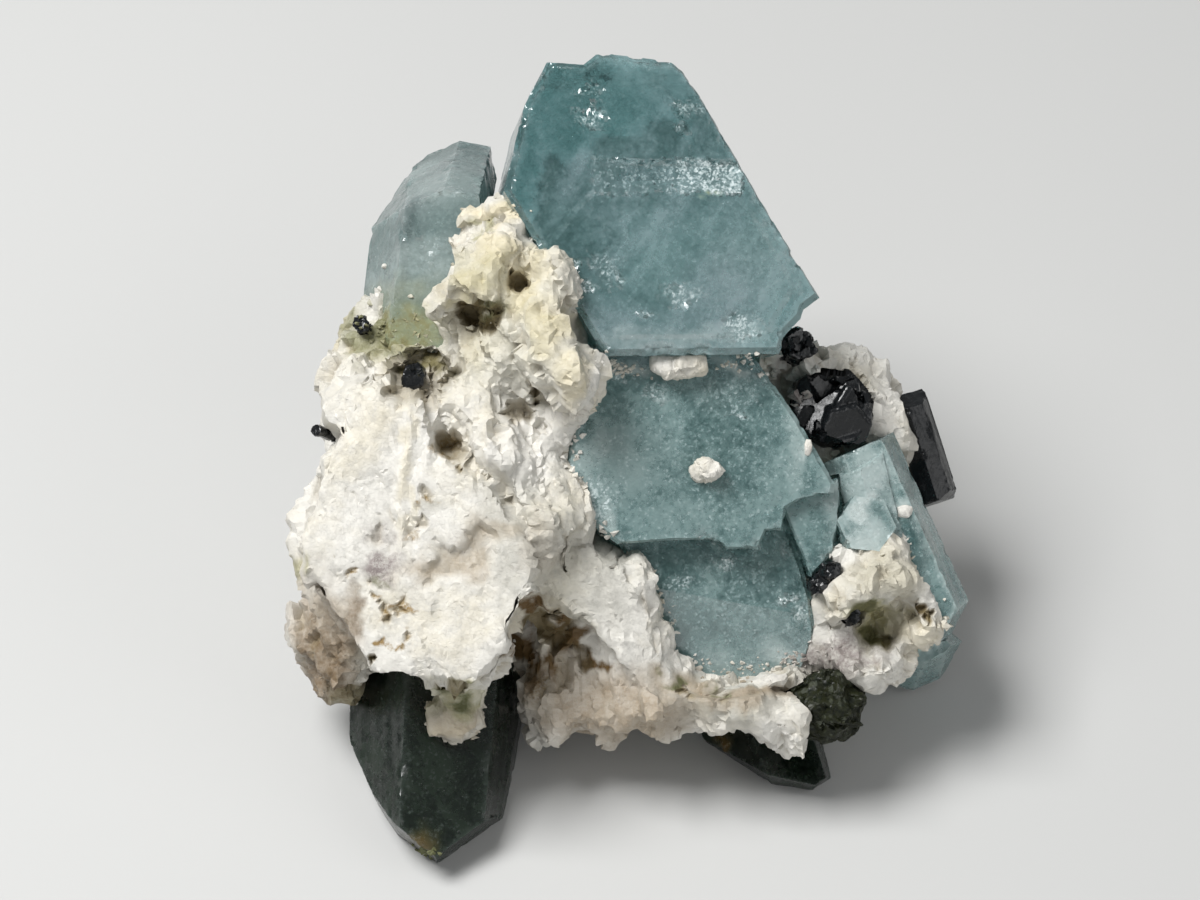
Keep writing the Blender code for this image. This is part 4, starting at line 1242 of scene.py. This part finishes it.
def crumb(bm, middle, size, corners=9, halves=(1.0, 0.8, 0.7)):
    """Adds one grain: the hull of points on a squashed ball. The fewer corners, the more angular it is."""
    scatter = dice.normal(size=(corners, 3))
    scatter /= np.linalg.norm(scatter, axis=1)[:, None]
    scatter *= size * np.array(halves) * dice.uniform(0.7, 1.0, size=(corners, 1))
    verts = [bm.verts.new(middle + Vector(point)) for point in scatter]
    made = bmesh.ops.convex_hull(bm, input=verts)
    inner = set(made["geom_interior"]) | set(made["geom_unused"])
    loose = [part for part in inner if isinstance(part, bmesh.types.BMVert)]
    bmesh.ops.delete(bm, geom=loose, context="VERTS")


crumbs = bmesh.new()
for number in dice.choice(len(rim), min(RIM_CRUMBS, len(rim)), replace=False):
    middle, normal = rim[number]
    size = dice.uniform(*CRUMB_SIZE)
    crumb(crumbs, middle + normal * size * 0.2, size)
all_solids = near_solids(list(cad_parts))
for across, up, wide, high in ROUND_GRAINS:
    crumb(crumbs, hit_from_front(all_solids, across, up), 1.0, ROUND_CORNERS, (wide, high, ROUND_THICK))
for across, up, wide, high, count, sizes in CRUSTS:
    for _ in range(count):
        aim = across + dice.normal() * wide * 0.5, up + dice.normal() * high * 0.5
        hit = hit_from_front(all_solids, *aim)
        if hit:
            crumb(crumbs, hit, dice.uniform(*sizes))
crumb_marks = tint_marks(places_of(crumbs), places_of(crumbs))
crumb_marks["stain"] = np.zeros(len(crumbs.verts))
hand_over("visual_albite_crumbs", crumbs, albite_white, "albite", marks=crumb_marks)

# %% [markdown]
# ## Schorl, the black tourmaline
#
# Schorl grows as rods with ribs along their length, a rounded three-sided section and a glassy
# break across. Most pieces here are broken chunks, so their skin is cut into glassy facets that
# each lean their own way. The long rod keeps its straight faces and gets ribs. The color is nearly
# black everywhere; what the eye reads is the polish, so roughness carries the variety.

# %% Schorl finish
SCHORL_BLACK = (0.006, 0.007, 0.008)
DUST = (0.30, 0.29, 0.26)
SCHORL_INDEX = 1.64


def schorl(name, turn):
    made = Finish(name)
    grain = made.noise(0.5, detail=5, rough=0.7)
    dust = made.ramp(made.noise(1.1, detail=6, rough=0.7), 0.56, 0.74)
    ribs_along = made.noise(0.35, detail=3, rough=0.6, place=made.stretched(turn, 12.0))
    made.set(Base_Color=made.mix(made.times(dust, 0.05), SCHORL_BLACK, DUST))
    made.set(Roughness=made.ramp(grain, 0.35, 0.65, 0.08, 0.34))
    made.set(IOR=SCHORL_INDEX, Specular_IOR_Level=0.30)
    made.bump(made.times(ribs_along, 0.05, made.times(grain, 0.03)), strength=0.6)
    return made.material


schorl_black = schorl("schorl_black", turn=18)
print("nodes in the finish of schorl:", len(schorl_black.node_tree.nodes))

# %% Schorl chunks
CHUNK_GRAIN = 0.13
CHUNK_RISE = 0.12  # at most
CHUNK_SUNK = 0.1  # on the whole


def chunk(node, sizes, slope):
    """A broken piece: its skin sinks in flat glassy facets of several sizes."""
    skin = one_skin(node, CHUNK_GRAIN)

    def height(vert):
        return min(CHUNK_RISE, sum(blocks(vert.co, size, slope) for size in sizes) - CHUNK_SUNK)

    raise_by(height, skin)
    hand_over("visual_" + node, skin, schorl_black, "schorl", node)


chunk("schorl_big", (4.4, 1.8), 0.55)
chunk("schorl_top", (1.6, 0.7), 0.42)
chunk("schorl_twin", (1.4, 0.6), 0.3)
chunk("schorl_cavity", (1.2, 0.5), 0.36)
chunk("schorl_left", (1.2, 0.5), 0.3)
chunk("schorl_shadow", (1.6, 0.6), 0.3)

# %% The rod and the bead
ROD_AXIS = Vector((2.6, -6.0, 0.6)).normalized()
ROD_STEP = 0.2


def rod(node, axis, step):
    bm = solid_mesh(node)
    edges = outer_edges(bm)
    sliced(bm, step).normal_update()
    plain = np.zeros(len(bm.verts))
    weathered(bm, edges, axis, plain, plain, chip=0.25, reach=0.35)
    hand_over("visual_" + node, bm, schorl_black, "schorl", node)


rod("schorl_rod", ROD_AXIS, ROD_STEP)
chunk("schorl_bead", (1.2,), 0.12)

# %% [markdown]
# ## Mica
#
# The dark lump under the terrace is mica: a stack of thin leaves that split apart, each a little
# out of line with the next. Real leaves are far thinner than any mesh could hold, so the lump is
# stepped along its stacking direction in leaves that can be seen, and the finish has small flat
# scales of different polish, some with a glint painted into their color.

# %% Leaves of mica
LEAF_AXIS = Vector((0.35, 0.55, 0.75)).normalized()
LEAF = 0.42
LEAF_JUT = 0.45
LEAF_RISE = 0.15  # at most
LEAF_SUNK = 0.12  # on the whole


def leaf_height(vert):
    """Each leaf juts out by its own amount, on the sides of the stack only."""
    co = vert.co
    leaf = math.floor(co.dot(LEAF_AXIS) / LEAF + 1.3 * noise.noise(co * 0.5))
    edge = 1 - abs(vert.normal.dot(LEAF_AXIS))
    jut = noise.noise(Vector((leaf * 3.7, co.x * 0.6, co.y * 0.6))) * LEAF_JUT * edge
    return min(LEAF_RISE, jut + blocks(co, 1.0, 0.35) - LEAF_SUNK)


mica_skin = one_skin("mica_lump", CHUNK_GRAIN)
raise_by(leaf_height, mica_skin)
print("skin of the mica:", len(mica_skin.verts), "points")

# %% Mica
MICA_DARK, MICA_GREEN, MICA_PAINTED_GLINT = (0.004, 0.006, 0.003), (0.022, 0.024, 0.010), (0.20, 0.22, 0.17)
MICA_INDEX = 1.5


def mica(name):
    made = Finish(name)
    scales = made.add("TexVoronoi", Vector=made.place, Scale=3.4).outputs["Color"]
    grain = made.noise(0.4, detail=5, rough=0.7)
    color = made.mix(made.ramp(grain, 0.35, 0.65), MICA_DARK, MICA_GREEN)
    # Some scales get a painted glint in their color.
    color = made.mix(made.times(made.ramp(scales, 0.72, 0.82), 0.18), color, MICA_PAINTED_GLINT)
    made.set(Base_Color=color, Roughness=made.ramp(scales, 0.3, 0.7, 0.30, 0.6))
    made.set(IOR=MICA_INDEX, Specular_IOR_Level=0.2)
    made.bump(made.times(grain, 0.05, made.facets(0.3, 0.5)), strength=0.8)
    return made.material


hand_over("visual_mica_lump", mica_skin, mica("dark_mica"), "mica", "mica_lump")

# %% [markdown]
# The last step counts the finished pieces and their triangles.

# %% Sizes, and the end of the lesson
print("pieces:", len(pieces), "triangles:", sum(len(piece.data.polygons) for piece in pieces))
